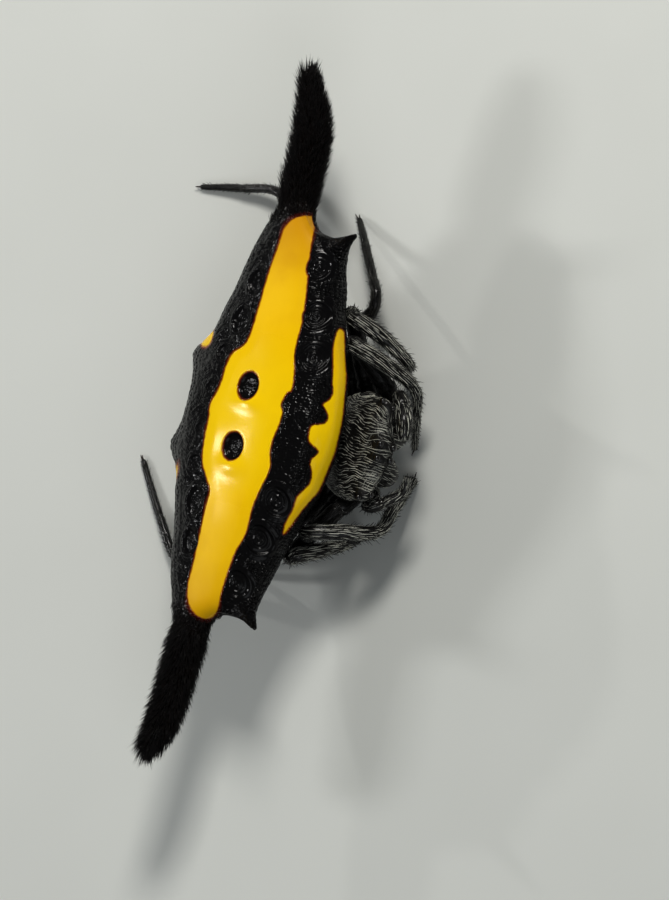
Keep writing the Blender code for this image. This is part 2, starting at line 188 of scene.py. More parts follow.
# %% Tubes
def end_fan(m, centre, edge, after, at_start):
    """Triangles from a centre point over one end ring, and the place of their corners on the UV
    map: the centre at half a step, then the two corners of the edge."""
    here, there = (after, edge) if at_start else (edge, after)
    middle, step = np.arange(m) / m, 1 / m
    first, second = (middle + step, middle) if at_start else (middle, middle + step)
    fan = np.stack([middle + step / 2, first, second], -1)
    end = np.full_like(fan, 0.0 if at_start else 1.0)
    return np.stack([np.full(m, centre), here, there], -1), np.stack([end, fan], -1).reshape(-1, 2)


def tube_piece(name, rings, numbers=None):
    """A closed tube from rings (n, m, 3): quads between rings, a fan over each end, and a UV
    map that runs 0 to 1 along and round it."""
    n, m = rings.shape[:2]
    row, col = np.meshgrid(np.arange(n - 1), np.arange(m), indexing="ij")
    nxt = (col + 1) % m
    quads = np.stack([row * m + col, row * m + nxt, (row + 1) * m + nxt, (row + 1) * m + col], -1)
    quads = quads.reshape(-1, 4)
    edge = np.arange(m)
    after = (edge + 1) % m
    head, head_uv = end_fan(m, n * m, edge, after, True)
    tail, tail_uv = end_fan(m, n * m + 1, (n - 1) * m + edge, (n - 1) * m + after, False)
    points = np.vstack([rings.reshape(-1, 3), rings[0].mean(0)[None], rings[-1].mean(0)[None]])
    u, v = row / (n - 1), col / m
    quad_uv = np.stack(
        [u, v, u, v + 1 / m, u + 1 / (n - 1), v + 1 / m, u + 1 / (n - 1), v], -1
    ).reshape(-1, 2)
    full = {}
    for key, values in (numbers or {}).items():
        values = np.asarray(values, float)
        full[key] = np.concatenate([values.ravel(), [values[0].mean(), values[-1].mean()]])
    corner_uv = np.vstack([quad_uv, head_uv, tail_uv])
    return mesh_piece(name, points, quads, np.vstack([head, tail]), full, corner_uv)


def grid_normals(grid):
    """Unit normals of a grid of rings: the cross product of its two differences."""
    along = np.gradient(grid, axis=0)
    round_it = np.roll(grid, -1, axis=1) - np.roll(grid, 1, axis=1)
    return unit(np.cross(along, round_it))


print("tubes ready")

# %% [markdown]
# Living shapes have no straight runs, but a few measured keys say where they go. One curve
# carries widths and heights through such keys without overshooting them. The other carries
# paths and outlines, and bends as smoothly as a bent wire.

# %% Curves
def smooth_curve(keys, at):
    """Columns of keys at the places in column 0: the cubic between two keys whose slopes at the
    ends are the harmonic means of the slopes on either side, so it never overshoots."""
    keys = np.asarray(keys, float)
    x, y = keys[:, 0], keys[:, 1:]
    step = np.diff(x)[:, None]
    slope = np.diff(y, axis=0) / step
    both = slope[:-1] * slope[1:]
    mean = np.where(both > 0, 2 * both / np.where(both > 0, slope[:-1] + slope[1:], 1), 0)
    tangent = np.vstack([slope[:1], mean, slope[-1:]])
    at = np.clip(np.asarray(at, float), x[0], x[-1])
    i = np.clip(np.searchsorted(x, at, side="right") - 1, 0, len(x) - 2)
    t = ((at - x[i]) / (x[i + 1] - x[i]))[..., None]
    return (
        (2 * t**3 - 3 * t**2 + 1) * y[i]
        + (t**3 - 2 * t**2 + t) * step[i] * tangent[i]
        + (3 * t**2 - 2 * t**3) * y[i + 1]
        + (t**3 - t**2) * step[i] * tangent[i + 1]
    )


def spline(before, start, end, after, steps):
    """Catmull-Rom points from each start towards its end, as (n, steps, k): the cubic whose
    slope at either end is half the way between that point's two neighbours."""
    t = (np.arange(steps) / steps)[None, :, None]
    b, s, e, f = (q[:, None, :] for q in (before, start, end, after))
    return 0.5 * (
        2 * s + (e - b) * t + (2 * b - 5 * s + 4 * e - f) * t**2 + (3 * s - b - 3 * e + f) * t**3
    )


print("curves ready")

# %% [markdown]
# ## Shader maths as plain expressions
# A node tree is easier to read as a formula. `Number` wraps a socket, and its operators add
# Math nodes, so `1 - mask * 0.5` builds two nodes.

# %% Numbers that add nodes
class Number:
    """The value that comes out of one socket, which can be added, multiplied and so on."""

    def __init__(self, finish, socket):
        self.finish = finish
        self.socket = socket

    def math(self, operation, *values):
        """One Math node of that operation."""
        return self.finish.node("ShaderNodeMath", {"operation": operation}, dict(enumerate(values)))

    def __add__(self, other):
        return self.math("ADD", self, other)

    def __radd__(self, other):
        return self.math("ADD", other, self)

    def __sub__(self, other):
        return self.math("SUBTRACT", self, other)

    def __rsub__(self, other):
        return self.math("SUBTRACT", other, self)

    def __mul__(self, other):
        return self.math("MULTIPLY", self, other)

    def __rmul__(self, other):
        return self.math("MULTIPLY", other, self)

    def sine(self):
        """The sine of the value."""
        return self.math("SINE", self)

    def size(self):
        """The value without its sign."""
        return self.math("ABSOLUTE", self)

    def between(self, low, high):
        """0 below low, 1 above high, with a smooth step between them."""
        inputs = {"Value": self, "From Min": low, "From Max": high}
        return self.finish.node("ShaderNodeMapRange", {"interpolation_type": "SMOOTHSTEP"}, inputs)


print("numbers ready")

# %% [markdown]
# A `Finish` is one Principled material. It makes any other node from its type, its settings
# and its inputs, and mixes colours with Mix nodes, because a Math node would turn them grey.
# Noise and cells are asked for by the size of their blobs in millimetres.

# %% Finishes
class Finish:
    """One Principled material, and the few calls that build the nodes behind it."""

    def __init__(self, name, **sockets):
        self.material = bpy.data.materials.new(name)
        self.material.use_nodes = True
        self.tree = self.material.node_tree
        self.shader = self.tree.nodes["Principled BSDF"]
        for key, value in sockets.items():
            self.feed(self.shader.inputs[key.replace("_", " ")], value)

    def feed(self, socket, value):
        """Links a Number to a socket, or sets the socket's own value."""
        if isinstance(value, Number):
            self.tree.links.new(value.socket, socket)
        elif isinstance(value, tuple) and len(value) == 3 and socket.type == "RGBA":
            socket.default_value = (*value, 1.0)
        else:
            socket.default_value = value

    def node(self, kind, settings=None, inputs=None, output=0):
        """A node of that kind, its settings first, then the values or links of its inputs."""
        made = self.tree.nodes.new(kind)
        for key, value in (settings or {}).items():
            setattr(made, key, value)
        for key, value in (inputs or {}).items():
            self.feed(made.inputs[key], value)
        return Number(self, made.outputs[output])

    def attribute(self, name):
        """A per-point number that the mesh carries."""
        return self.node("ShaderNodeAttribute", {"attribute_name": name}, output="Fac")

    def position(self, stretch=(1, 1, 1)):
        """Object coordinates, stretched along each axis."""
        place_socket = self.node("ShaderNodeTexCoord", output="Object")
        if stretch == (1, 1, 1):
            return place_socket
        return self.node("ShaderNodeMapping", {}, {"Vector": place_socket, "Scale": stretch})

    def noise(self, size_mm, detail=2.0, vector=None):
        """Soft noise with blobs of about that size, from 0 to 1."""
        inputs = {"Vector": vector or self.position(), "Scale": 1000.0 / size_mm, "Detail": detail}
        return self.node("ShaderNodeTexNoise", {}, inputs)

    def cells(self, size_mm):
        """Distance from the middles of cells of about that size."""
        inputs = {"Vector": self.position(), "Scale": 1000.0 / size_mm}
        return self.node("ShaderNodeTexVoronoi", {}, inputs, output="Distance")

    def blend(self, share, first, second):
        """Two colours mixed by a share from 0 to 1."""
        inputs = {"Factor": share, 6: first, 7: second}
        return self.node("ShaderNodeMix", {"data_type": "RGBA"}, inputs, output=2)

    def bump(self, height_mm):
        """Feeds Normal with a Bump node whose height is in millimetres."""
        inputs = {"Strength": 1.0, "Distance": MM, "Height": height_mm}
        self.feed(self.shader.inputs["Normal"], self.node("ShaderNodeBump", {}, inputs))

    def colour(self, value):
        """Sets or links Base Color."""
        self.feed(self.shader.inputs["Base Color"], value)

    def roughness(self, value):
        """Sets or links Roughness."""
        self.feed(self.shader.inputs["Roughness"], value)


print("finishes ready")

# %% [markdown]
# Every piece is handed over in the same way: it gets its finish, is fixed to the animal's one
# rigid body, and hides the solids that it stands for.

# %% Dress a piece
def dress(obj, finish, slot, *nodes):
    """Gives a piece its finish, lets it ride, and hides the nodes it stands for; its slot is not used.
    """
    obj.data.materials.clear()
    obj.data.materials.append(finish.material)
    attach(obj, "root")
    if nodes:
        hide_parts(*nodes)
    triangles = sum(len(p.vertices) - 2 for p in obj.data.polygons)
    print(f"{obj.name}: {triangles} triangles")
    return obj


print("ready to dress pieces")

# %% [markdown]
# ## The form of the abdomen
# In life the abdomen is one hard skin: a flat lozenge, drawn out at its sides into two long
# spines and at its corners into thorns. It could be boxed up from a cube, but a section
# carried along the x axis is closer to how it grows. Each row of the profile gives the front
# and rear edge of the section, the height of its rim, and how far the back rises over it and
# the belly sinks under it. The rows run from the tip of one spine to the tip of the other.

# %% Profile of the abdomen
# Rows of the shell: x, front edge, rear edge, height of the rim, rise of the back, belly depth.
SHELL_ROWS = (
    (0.00, 3.45, -2.32, -0.15, 1.12, 1.42),
    (1.70, 3.20, -2.12, -0.15, 1.08, 1.38),
    (2.90, 2.78, -1.78, -0.13, 1.02, 1.28),
    (4.40, 2.32, -1.40, -0.10, 0.88, 1.08),
    (5.40, 2.15, -1.08, -0.05, 0.74, 0.85),
    (5.76, 2.12, -0.94, -0.02, 0.672, 0.76),
    (5.86, 1.75, -0.90, -0.015, 0.653, 0.70),
    (5.96, 0.98, -0.84, -0.01, 0.634, 0.60),
    (6.20, 0.62, -0.68, 0.00, 0.582, 0.54),
)
# Rows of a spine: x, then a and z of its axis, then its radius.
SPINE_LEFT = (
    (6.60, -0.06, 0.00, 0.52),
    (7.40, -0.07, 0.02, 0.49),
    (8.60, -0.06, 0.10, 0.48),
    (9.60, -0.20, 0.23, 0.38),
    (10.12, -0.35, 0.36, 0.24),
    (10.42, -0.42, 0.42, 0.11),
    (10.48, -0.43, 0.42, 0.01),
)
SPINE_RIGHT = (
    (-6.60, 0.00, 0.00, 0.50),
    (-7.40, 0.01, 0.02, 0.47),
    (-8.60, 0.03, 0.10, 0.44),
    (-9.60, 0.02, 0.21, 0.40),
    (-10.14, -0.06, 0.28, 0.30),
    (-10.40, -0.12, 0.31, 0.16),
    (-10.47, -0.13, 0.31, 0.01),
)
# Along x: where the crest of the back runs, and where the front edge of the back lies.
CREST = (
    (0.00, 0.56), (1.70, 0.54), (2.90, 0.48), (4.40, 0.44), (5.40, 0.34), (6.00, 0.14), (6.60, 0.00),
)
TOP_FRONT = ((4.40, 2.32), (5.20, 2.10), (5.70, 1.66), (6.10, 1.04), (6.45, 0.62), (6.60, 0.46))
SQUARENESS = 0.90
SHOULDER = (4.4, 4.9)
ROLL_END = (6.5, 6.6)
SPINE_FOOT = (6.0, 6.6)
ROUNDING = (5.9, 6.5)
UPPER_HALF = (0.15, 0.60)


def spine_rows(rows):
    """Round sections written like the shell's: edges at the axis plus and minus the radius."""
    return [(x, a + r, a - r, z, r, r) for x, a, z, r in rows]


PROFILE = sorted(
    spine_rows(SPINE_RIGHT)
    + [(-row[0], *row[1:]) for row in SHELL_ROWS[1:]]
    + list(SHELL_ROWS)
    + spine_rows(SPINE_LEFT)
)


def abdomen_section(x, turn):
    """Points of the plain form: a = crest + depth on that side |cos|^p, z = rim + rise |sin|^p.
    The crest runs straight past the thorns, and on the back the front edge recedes more slowly
    than the rim does, so the shell rolls over smoothly into the spine."""
    front, rear, rim, back, belly = np.moveaxis(smooth_curve(PROFILE, x), -1, 0)
    c, s = np.cos(turn), np.sin(turn)
    reach = np.abs(x)
    power = SQUARENESS + (1 - SQUARENESS) * eased(reach, *ROUNDING)
    at_end = eased(reach, *SHOULDER) * (1 - eased(reach, *ROLL_END)) * eased(s, *UPPER_HALF)
    front = front + (smooth_curve(TOP_FRONT, reach)[..., 0] - front) * at_end
    on_spine = eased(reach, *SPINE_FOOT)
    crest = smooth_curve(CREST, reach)[..., 0] * (1 - on_spine) + (front + rear) / 2 * on_spine
    a = crest + np.where(c > 0, front - crest, crest - rear) * np.sign(c) * np.abs(c) ** power
    z = rim + np.where(s > 0, back, belly) * np.sign(s) * np.abs(s) ** power
    return np.stack([x + 0 * a, a, z], -1)


print("profile rows:", len(PROFILE))

# %% [markdown]
# ## Thorns drawn out of the shell
# The real thorns are the same skin, pulled to a point, so there is no seam at their foot. A
# pull does the same to the grid: every point near the thorn's foot moves towards its tip by a
# share that falls from 1 at the middle to 0 at the edge. A high power makes a thin, hollow
# sided thorn, and a low one a blunt bump.

# %% Thorns and bumps
# Each pull: the foot on the plain form, the tip, the reach and the power.
PULLS = (
    ((5.74, 2.06, 0.10), (6.20, 2.96, 0.47), 0.62, 2.7),
    ((-5.74, 2.06, 0.10), (-6.18, 2.94, 0.46), 0.62, 2.7),
    ((1.52, -2.10, -0.30), (1.50, -3.00, -0.42), 1.15, 1.7),
    ((-1.32, -2.16, -0.30), (-1.30, -2.92, -0.40), 1.15, 1.7),
    ((0.00, -0.10, -1.57), (0.00, -0.20, -2.12), 1.05, 1.3),
)


def pulled(points):
    """Moves points by (tip - foot) (1 - d / reach)^power, with d the distance to the foot."""
    moved = points.copy()
    for foot, tip, reach, power in PULLS:
        near = np.clip(1 - np.linalg.norm(points - np.array(foot), axis=-1) / reach, 0, 1)
        moved += (near**power)[..., None] * (np.array(tip) - np.array(foot))
    return moved


def abdomen_form(x, turn):
    """The abdomen with its thorns, still without pits and grain."""
    return pulled(abdomen_section(x, turn))


print("thorns and bumps:", len(PULLS))

# %% [markdown]
# ## Pits, rings and grain on the shell
# The dark oval pits are sigilla, where muscles are fixed inside. Each is a shallow dish with a
# raised rim, and the black skin lies round it in fine ridges, strewn with shiny grains. Pits,
# rims and grains are added along the normal as real geometry, because they make the outline
# rough as well; the ridges are finer than the mesh, so the finish draws them.

# %% Pits, knobs and grains
# Each pit on the left: its centre (x, a), half its width and length, depth, ridge height.
SIGILLA = (
    (0.94, 0.62, 0.46, 0.41, 0.15, 0.000),
    (1.73, -0.76, 0.28, 0.30, 0.06, 0.012),
    (2.83, -0.38, 0.46, 0.38, 0.10, 0.004),
    (4.05, -0.22, 0.44, 0.33, 0.09, 0.004),
    (2.24, 2.50, 0.46, 0.38, 0.05, 0.018),
    (3.48, 2.16, 0.45, 0.38, 0.06, 0.018),
    (4.94, 1.74, 0.42, 0.34, 0.05, 0.014),
    (0.64, -0.90, 0.19, 0.20, 0.04, 0.008),
)
NO_PIT = 9.0
GRAIN_TABLE = 64
GRAIN_JITTER = 0.30
GRAIN_REACH = 0.60


def sigilla_field(x, a):
    """For each point: how many pit radii it is from the nearest centre, that pit's depth, the
    height of the ridges round it, and how many mm the point lies outside the pit's edge."""
    share, outside = np.full(x.shape, NO_PIT), np.full(x.shape, NO_PIT)
    depth, ridge = np.zeros(x.shape), np.zeros(x.shape)
    for centre_x, centre_a, half_x, half_a, pit_depth, pit_ridge in SIGILLA:
        far = np.hypot((np.abs(x) - centre_x) / half_x, (a - centre_a) / half_a)
        closer = far < share
        share = np.where(closer, far, share)
        depth = np.where(closer, pit_depth, depth)
        ridge = np.where(closer, pit_ridge, ridge)
        outside = np.minimum(outside, (far - 1.0) * (half_x + half_a) / 2)
    return share, depth, ridge, outside


def grains(u, v, pitch, seed):
    """Round grains: one centre is jittered in each cell of a lattice, and a point's height is
    the dome 1 - (d / 0.60 cell)^2 over the nearest centre."""
    rng = np.random.default_rng(seed)
    table = rng.uniform(-GRAIN_JITTER, GRAIN_JITTER, (GRAIN_TABLE, GRAIN_TABLE, 2))
    u, v = u / pitch, v / pitch
    u = u + 0.5 * (np.floor(v) % 2)
    cell_u, cell_v = np.floor(u), np.floor(v)
    best = np.full(u.shape, 9.0)
    for du in (-1, 0, 1):
        for dv in (-1, 0, 1):
            i, j = cell_u + du, cell_v + dv
            jitter = table[i.astype(int) % GRAIN_TABLE, j.astype(int) % GRAIN_TABLE]
            far = np.hypot(i + 0.5 + jitter[..., 0] - u, j + 0.5 + jitter[..., 1] - v)
            best = np.minimum(best, far)
    return np.clip(1 - (best / GRAIN_REACH) ** 2, 0, 1)


def waves(x, a, size, seed):
    """Soft random relief from -1 to 1: a sum of eight plane waves of about that size."""
    rng = np.random.default_rng(seed)
    total = np.zeros(x.shape)
    for way, phase, stretch in rng.uniform(0, 1, (8, 3)):
        turn = 2 * pi * way
        reach = 2 * pi / (size * (0.7 + 0.8 * stretch))
        total += np.sin(reach * (x * np.cos(turn) + a * np.sin(turn)) + 2 * pi * phase)
    return total / 4


def bell(x, a, reach_x, reach_a):
    """A soft hill of height 1 over (0, 0): exp(-(x / reach)^2 - (a / reach)^2)."""
    return np.exp(-(np.hypot(x / reach_x, a / reach_a) ** 2))


print("pits on each side:", len(SIGILLA))

# %% [markdown]
# ## Where the yellow lies
# The yellow band and the stripe along the front edge are outlines drawn on the back, measured
# in two slanted coordinates that the camera sees square on: x, and w = a sin 50 - z cos 50.
# For each point of the shell the distance to the outline, counted positive inside, becomes an
# attribute. The finish can then give the edge a dark red fringe and a little raggedness
# however fine the mesh is.

# %% Outlines of the yellow marks
BAND = (
    (5.82, -0.27), (6.15, -0.09), (6.34, 0.20), (6.40, 0.52), (6.20, 0.62), (5.30, 0.69), (4.03, 0.89),
    (3.21, 0.98), (2.33, 0.98), (1.70, 1.12), (1.15, 1.18), (1.03, 1.08), (0.79, 1.00), (0.60, 0.985),
    (0.43, 1.08), (0.02, 1.07), (-0.46, 1.00), (-0.84, 1.01), (-1.21, 1.12), (-1.53, 1.11),
    (-1.86, 1.03), (-2.61, 0.91), (-3.42, 0.91), (-4.09, 0.73), (-5.27, 0.64),
    (-5.85, 0.66), (-6.16, 0.52), (-6.22, 0.22), (-6.08, -0.08), (-5.80, -0.30), (-5.33, -0.42),
    (-4.67, -0.42), (-2.97, -0.48), (-2.42, -0.48), (-2.03, -0.70), (-1.60, -0.93), (-0.94, -1.03),
    (-0.30, -1.06), (0.12, -1.12), (0.73, -0.97), (1.36, -0.94), (1.82, -0.82), (2.25, -0.50),
    (3.33, -0.42), (4.09, -0.40), (4.76, -0.36), (5.39, -0.30),
)
STRIPE = (
    (3.29, 2.10), (3.03, 2.04), (2.63, 2.08), (2.07, 2.22), (1.67, 2.30), (1.38, 2.39), (1.15, 2.35),
    (1.01, 2.23), (0.91, 2.21), (0.75, 2.37), (0.59, 2.44), (0.40, 2.36), (0.29, 2.08), (0.14, 1.99),
    (-0.16, 2.03), (-0.29, 2.13), (-0.45, 2.41), (-0.62, 2.34), (-0.83, 2.25), (-1.13, 2.38),
    (-1.44, 2.39), (-1.66, 2.28), (-1.95, 2.13), (-2.37, 2.09), (-2.80, 1.98), (-3.14, 2.00),
    (-2.90, 2.15), (-2.42, 2.34), (-1.94, 2.57), (-1.64, 2.72), (-1.30, 2.88), (-0.37, 2.90),
    (0.32, 2.91), (1.33, 2.92), (1.98, 2.78), (2.72, 2.50), (3.20, 2.30),
)
# Each yellow patch at the rear: its place (x, w) and half its width and height.
REAR_PATCHES = ((2.12, -1.74, 0.38, 0.20), (0.10, -1.95, 0.62, 0.07), (-2.30, -1.64, 0.40, 0.09))
PIT_MARKS = 0.98
PIT_RADIUS = 0.38
RIM_FADE = 0.60
RIM_START = 0.20
REAR_HALF = -0.5


def closed_curve(points, steps=4):
    """A smooth closed curve through the points: a Catmull-Rom spline with steps per span."""
    p = np.asarray(points, float)
    return spline(np.roll(p, 1, 0), p, np.roll(p, -1, 0), np.roll(p, -2, 0), steps).reshape(-1, 2)


def inside_distance(x, w, outline):
    """Distance of each point to a closed outline, positive inside it: the shortest distance to
    any of its edges, with the sign from how many edges a ray crosses."""
    curve = closed_curve(outline)
    best = np.full(x.shape, 9.0)
    odd = np.zeros(x.shape, bool)
    for (x0, w0), (x1, w1) in zip(curve, np.roll(curve, -1, 0)):
        dx, dw = x1 - x0, w1 - w0
        t = np.clip(((x - x0) * dx + (w - w0) * dw) / (dx * dx + dw * dw + 1e-12), 0, 1)
        best = np.minimum(best, np.hypot(x - x0 - t * dx, w - w0 - t * dw))
        crosses = (w0 > w) != (w1 > w)
        at = x0 + (w - w0) * dx / np.where(np.abs(dw) > 1e-9, dw, 1e-9)
        odd ^= crosses & (x < at)
    return np.where(odd, best, -best)


def yellow_distance(points, turn, pit_share):
    """How far inside the yellow each point lies, in mm; far outside it on the belly."""
    x = points[..., 0]
    w = points[..., 1] * np.sin(view_h) - points[..., 2] * np.cos(view_h)
    marks = np.maximum(inside_distance(x, w, BAND), inside_distance(x, w, STRIPE))
    marks = np.minimum(marks, (pit_share - PIT_MARKS) * PIT_RADIUS)
    marks = np.minimum(marks, (np.sin(turn) + RIM_START) * RIM_FADE)
    for patch_x, patch_w, half_x, half_w in REAR_PATCHES:
        far = np.hypot((x - patch_x) / half_x, (w - patch_w) / half_w)
        patch = (1 - far) * half_w
        marks = np.where(np.cos(turn) < REAR_HALF, np.maximum(marks, patch), marks)
    return marks


print("outline points:", len(BAND) + len(STRIPE))

# %% [markdown]
# ## The skin of the abdomen
# One grid covers the shell, both side spines and the thorns. Its rows are close together over
# the shell, where the relief is fine, and wide apart along the spines, which bristles cover.
# Four fifths of its columns lie on the back.

# %% Grid of the abdomen
ROWS_ON_SHELL = 361
ROWS_ON_SPINE = 14
TURNS_ABOVE = 208
TURNS_BELOW = 44
SHELL_END = 6.40
ROW_SPREAD = 0.10
FRONT_SCALE = 0.15
REAR_SCALE = 0.24


def abdomen_rows():
    """Places along x, even on the shell and closer together towards the spines' tips."""
    even = np.linspace(-1, 1, ROWS_ON_SHELL)
    shell = SHELL_END * (even + ROW_SPREAD * np.sin(pi * even) * np.abs(even))
    reach = np.sin(np.linspace(0, pi / 2, ROWS_ON_SPINE + 1))[1:]
    left = SHELL_END + (SPINE_LEFT[-1][0] - SHELL_END) * reach
    right = -SHELL_END + (SPINE_RIGHT[-1][0] + SHELL_END) * reach
    return np.concatenate([right[::-1], shell, left])


def abdomen_turns():
    """Angles round the section, from the front edge over the back and under the belly."""
    above = pi * np.arange(TURNS_ABOVE) / TURNS_ABOVE
    below = pi + pi * np.arange(TURNS_BELOW) / TURNS_BELOW
    return np.concatenate([above, below])


def rim_distances(points):
    """Mm along the skin from the nearer rim, and that distance in scales: the running length of
    each section, which passes the rear rim after the columns of the back."""
    steps = np.linalg.norm(np.roll(points, -1, axis=1) - points, axis=-1)
    run = np.cumsum(steps, axis=1) - steps
    whole, back = run[:, -1:] + steps[:, -1:], run[:, TURNS_ABOVE][:, None]
    front, rear = np.minimum(run, whole - run), np.abs(run - back)
    return np.minimum(front, rear), np.where(front < rear, front / FRONT_SCALE, rear / REAR_SCALE)


grid_x, grid_turn = np.meshgrid(abdomen_rows(), abdomen_turns(), indexing="ij")
form = abdomen_form(grid_x, grid_turn)
print("grid of the abdomen:", form.shape[:2])

# %% [markdown]
# ## Relief of the skin
# In life every pit is a dish with a rim, the yellow is puffed up like enamel, and the black
# lies lower and is strewn with grains. A displacement modifier could do it, but sums of smooth
# hills are exact and cheap. They are worked out for the whole grid and moved along its normals.

# %% Build the abdomen's skin
PIT_WALL = 0.86
RIM_PLACE = 1.12
RIM_WIDTH = 0.16
RIM_HEIGHT = 0.030
DIMPLE_DEPTH = 0.024
DIMPLE_REACH = (0.75, 0.70)
# Each lip beside a deep pit: its place (x, a), its reach along x and along a, its rise.
LIPS = ((0.42, 0.72, 0.26, 0.50, 0.055), (-1.56, 0.68, 0.28, 0.50, 0.050))
# Each knob at the front edge: its place (x, a), its reach and its rise.
KNOBS = (
    (0.39, 2.36, 0.24, 0.07),
    (0.02, 2.72, 0.08, 0.03),
    (-0.98, 2.16, 0.10, 0.03),
    (-2.0, 2.1, 0.22, 0.04),
)
KNOB_FOLDS = 0.18
FOLD_PITCH = 0.11
RIDGE_FADE = 1.45
GRAIN_PITCH = 0.17
GRAIN_ROW = 0.8
GRAIN_HEIGHT = 0.022
GRAIN_SEED = 11
GRAIN_START = (0.0, 0.15)
LUMP_HEIGHT = 0.025
LUMP_SIZE = 1.3
SHELL_FADE = (6.0, 6.5)
BACK_EDGE = (0.05, 0.30)
BLACK_EDGE = (-0.05, 0.02)
YELLOW_RISE = 0.022
PUFF_EDGE = (-0.05, 0.35)
PUFF_SIZE = 1.6
DEEP_PIT = 0.12
PUFF_REACH = 1.9


def pit_relief(x, a, share, depth, black):
    """Dishes -depth exp(-(share / wall)^8), rims on black skin, the dimple and the lip of each
    yellow pit, and the folded knobs at the front edge."""
    height = -depth * np.exp(-((share / PIT_WALL) ** 8))
    height += RIM_HEIGHT * np.exp(-(((share - RIM_PLACE) / RIM_WIDTH) ** 2)) * black
    for sign in (1, -1):
        height -= DIMPLE_DEPTH * bell(x - sign * SIGILLA[0][0], a - SIGILLA[0][1], *DIMPLE_REACH)
    for lip_x, lip_a, reach_x, reach_a, rise in LIPS:
        height += rise * bell(x - lip_x, a - lip_a, reach_x, reach_a)
    for knob_x, knob_a, reach, rise in KNOBS:
        folds = 1 + KNOB_FOLDS * np.cos(2 * pi * (x + 0.3 * a) / FOLD_PITCH)
        height += rise * bell(x - knob_x, a - knob_a, reach, reach) * folds * black
    return height


def skin_relief(x, a, row, outside, black, on_back):
    """Grains in rows beside the rims, and soft lumps, on the black skin of the shell alone."""
    on_shell = 1 - eased(np.abs(x), *SHELL_FADE)
    dots = grains(x, row * GRAIN_PITCH * GRAIN_ROW, GRAIN_PITCH, GRAIN_SEED)
    height = GRAIN_HEIGHT * dots * black * eased(outside, *GRAIN_START) * on_shell
    height *= 1.2 - on_back * 0.7
    return height + LUMP_HEIGHT * waves(x, a, LUMP_SIZE, 5) * black * on_shell


def shell_relief(points, turn):
    """Height in mm of pits, grains and the puffed yellow at each point, and the numbers that the
    finish reads: mm inside the yellow, mm outside the pits, height of the ridges round them, mm
    from the nearer rim, and how many scales lie between the point and that rim."""
    x, a = points[..., 0], points[..., 1]
    from_rim, row = rim_distances(points)
    share, depth, ridge, outside = sigilla_field(x, a)
    on_back = eased(np.sin(turn) + 0 * x, *BACK_EDGE)
    share = np.where(on_back > 0, share, NO_PIT)
    marks = yellow_distance(points, turn, share)
    black = 1 - eased(marks, *BLACK_EDGE)
    height = pit_relief(x, a, share, depth, black) * on_back
    height += skin_relief(x, a, row, outside, black, on_back)
    puffed = np.where((depth > DEEP_PIT) & (share < PUFF_REACH), 1.0, eased(marks, *PUFF_EDGE))
    height += YELLOW_RISE * puffed * (1.05 + 0.45 * waves(x, a, PUFF_SIZE, 4))
    ridges = ridge * np.exp(-((share / RIDGE_FADE) ** 4)) * on_back
    return height, {"yellow": marks, "ring": outside, "ridge": ridges, "rim": from_rim, "row": row}


normals = grid_normals(form)
outward = np.sum(normals * (form - form.mean(axis=1, keepdims=True)))
normals = normals * np.sign(outward)
relief, numbers = shell_relief(form, grid_turn)
abdomen = tube_piece("abdomen_skin", form + normals * relief[..., None], numbers)
print("yellow share of the grid:", round(float((numbers["yellow"] > 0).mean()), 3))

# %% [markdown]
# ## Colours of the shell
# The yellow is an enamel: deeper orange at the ends of the band, thinning through brown and
# dark red to black in a tenth of a millimetre at its edge. Its middle is paled towards a lighter
# yellow as a painted highlight. A painted texture would need a photograph; here the distance to
# the outline, a little ragged by noise, picks the colour.

# %% Colours of the shell
YELLOW = (0.91, 0.590, 0.001)
PAINTED_HIGHLIGHT_YELLOW = (0.97, 0.740, 0.006)
AMBER = (0.62, 0.310, 0.001)
EDGE_BROWN = (0.30, 0.075, 0.002)
DARK_RED = (0.080, 0.007, 0.003)
SHELL_BLACK = (0.0045, 0.0040, 0.0045)
SPINE_BROWN = (0.008, 0.0045, 0.0035)
RAGGED = 0.040
FRINGE = 0.050
TIP_FRINGE = 0.12

shell = Finish("shell_enamel", Specular_IOR_Level=0.20)
marks = shell.attribute("yellow") + (shell.noise(0.13, 3.0) - 0.5) * RAGGED
x_place = shell.node("ShaderNodeSeparateXYZ", {}, {0: shell.position()}, output="X")
side = x_place.size()
# The ends of the band turn amber, the left end more than the right.
amber_share = side.between(3.6 * MM, 6.3 * MM) * (0.45 + x_place.between(0.0, 4.0 * MM) * 0.45)
mottle = shell.noise(0.9, 2.0).between(0.40, 0.75) * 0.14
enamel = shell.blend(amber_share + mottle, YELLOW, AMBER)
# Painted highlight: the middle of the band is paled towards a lighter yellow.
enamel = shell.blend(0.4 - side.between(0.6 * MM, 3.4 * MM) * 0.4, enamel, PAINTED_HIGHLIGHT_YELLOW)
browned = shell.blend(marks.between(-0.01, 0.05), EDGE_BROWN, enamel)
reddened = shell.blend(marks.between(-0.025, 0.005), DARK_RED, browned)
dark = shell.blend(side.between(5.8 * MM, 7.0 * MM), SHELL_BLACK, SPINE_BROWN)
fringe_end = -FRINGE - side.between(5.4 * MM, 6.1 * MM) * TIP_FRINGE
shell.colour(shell.blend(marks.between(fringe_end, -0.025), dark, reddened))
print("nodes for the colours:", len(shell.tree.nodes))

# %% [markdown]
# ## Gloss and fine relief of the shell
# The black skin is polished, and looks deep because each scale throws back only a small glint.
# The scales stand in rows along both rims, fine ridges run round the pits, and wrinkles cover
# the rest. They are finer than the mesh, so they are a bump, measured in millimetres.

# %% Gloss and fine relief of the shell
SCALE_ALONG = 0.095
SCALE_HEIGHT = 0.085
SCALE_REACH = 0.72
WRINKLE_HEIGHT = 0.055
FINE_PITCH = 0.075
FINE_HEIGHT = 0.0020
RIDGE_PITCH = 0.135
RIDGE_SHARE = 0.9
PORE_HEIGHT = 0.0012
outside = shell.attribute("ring")


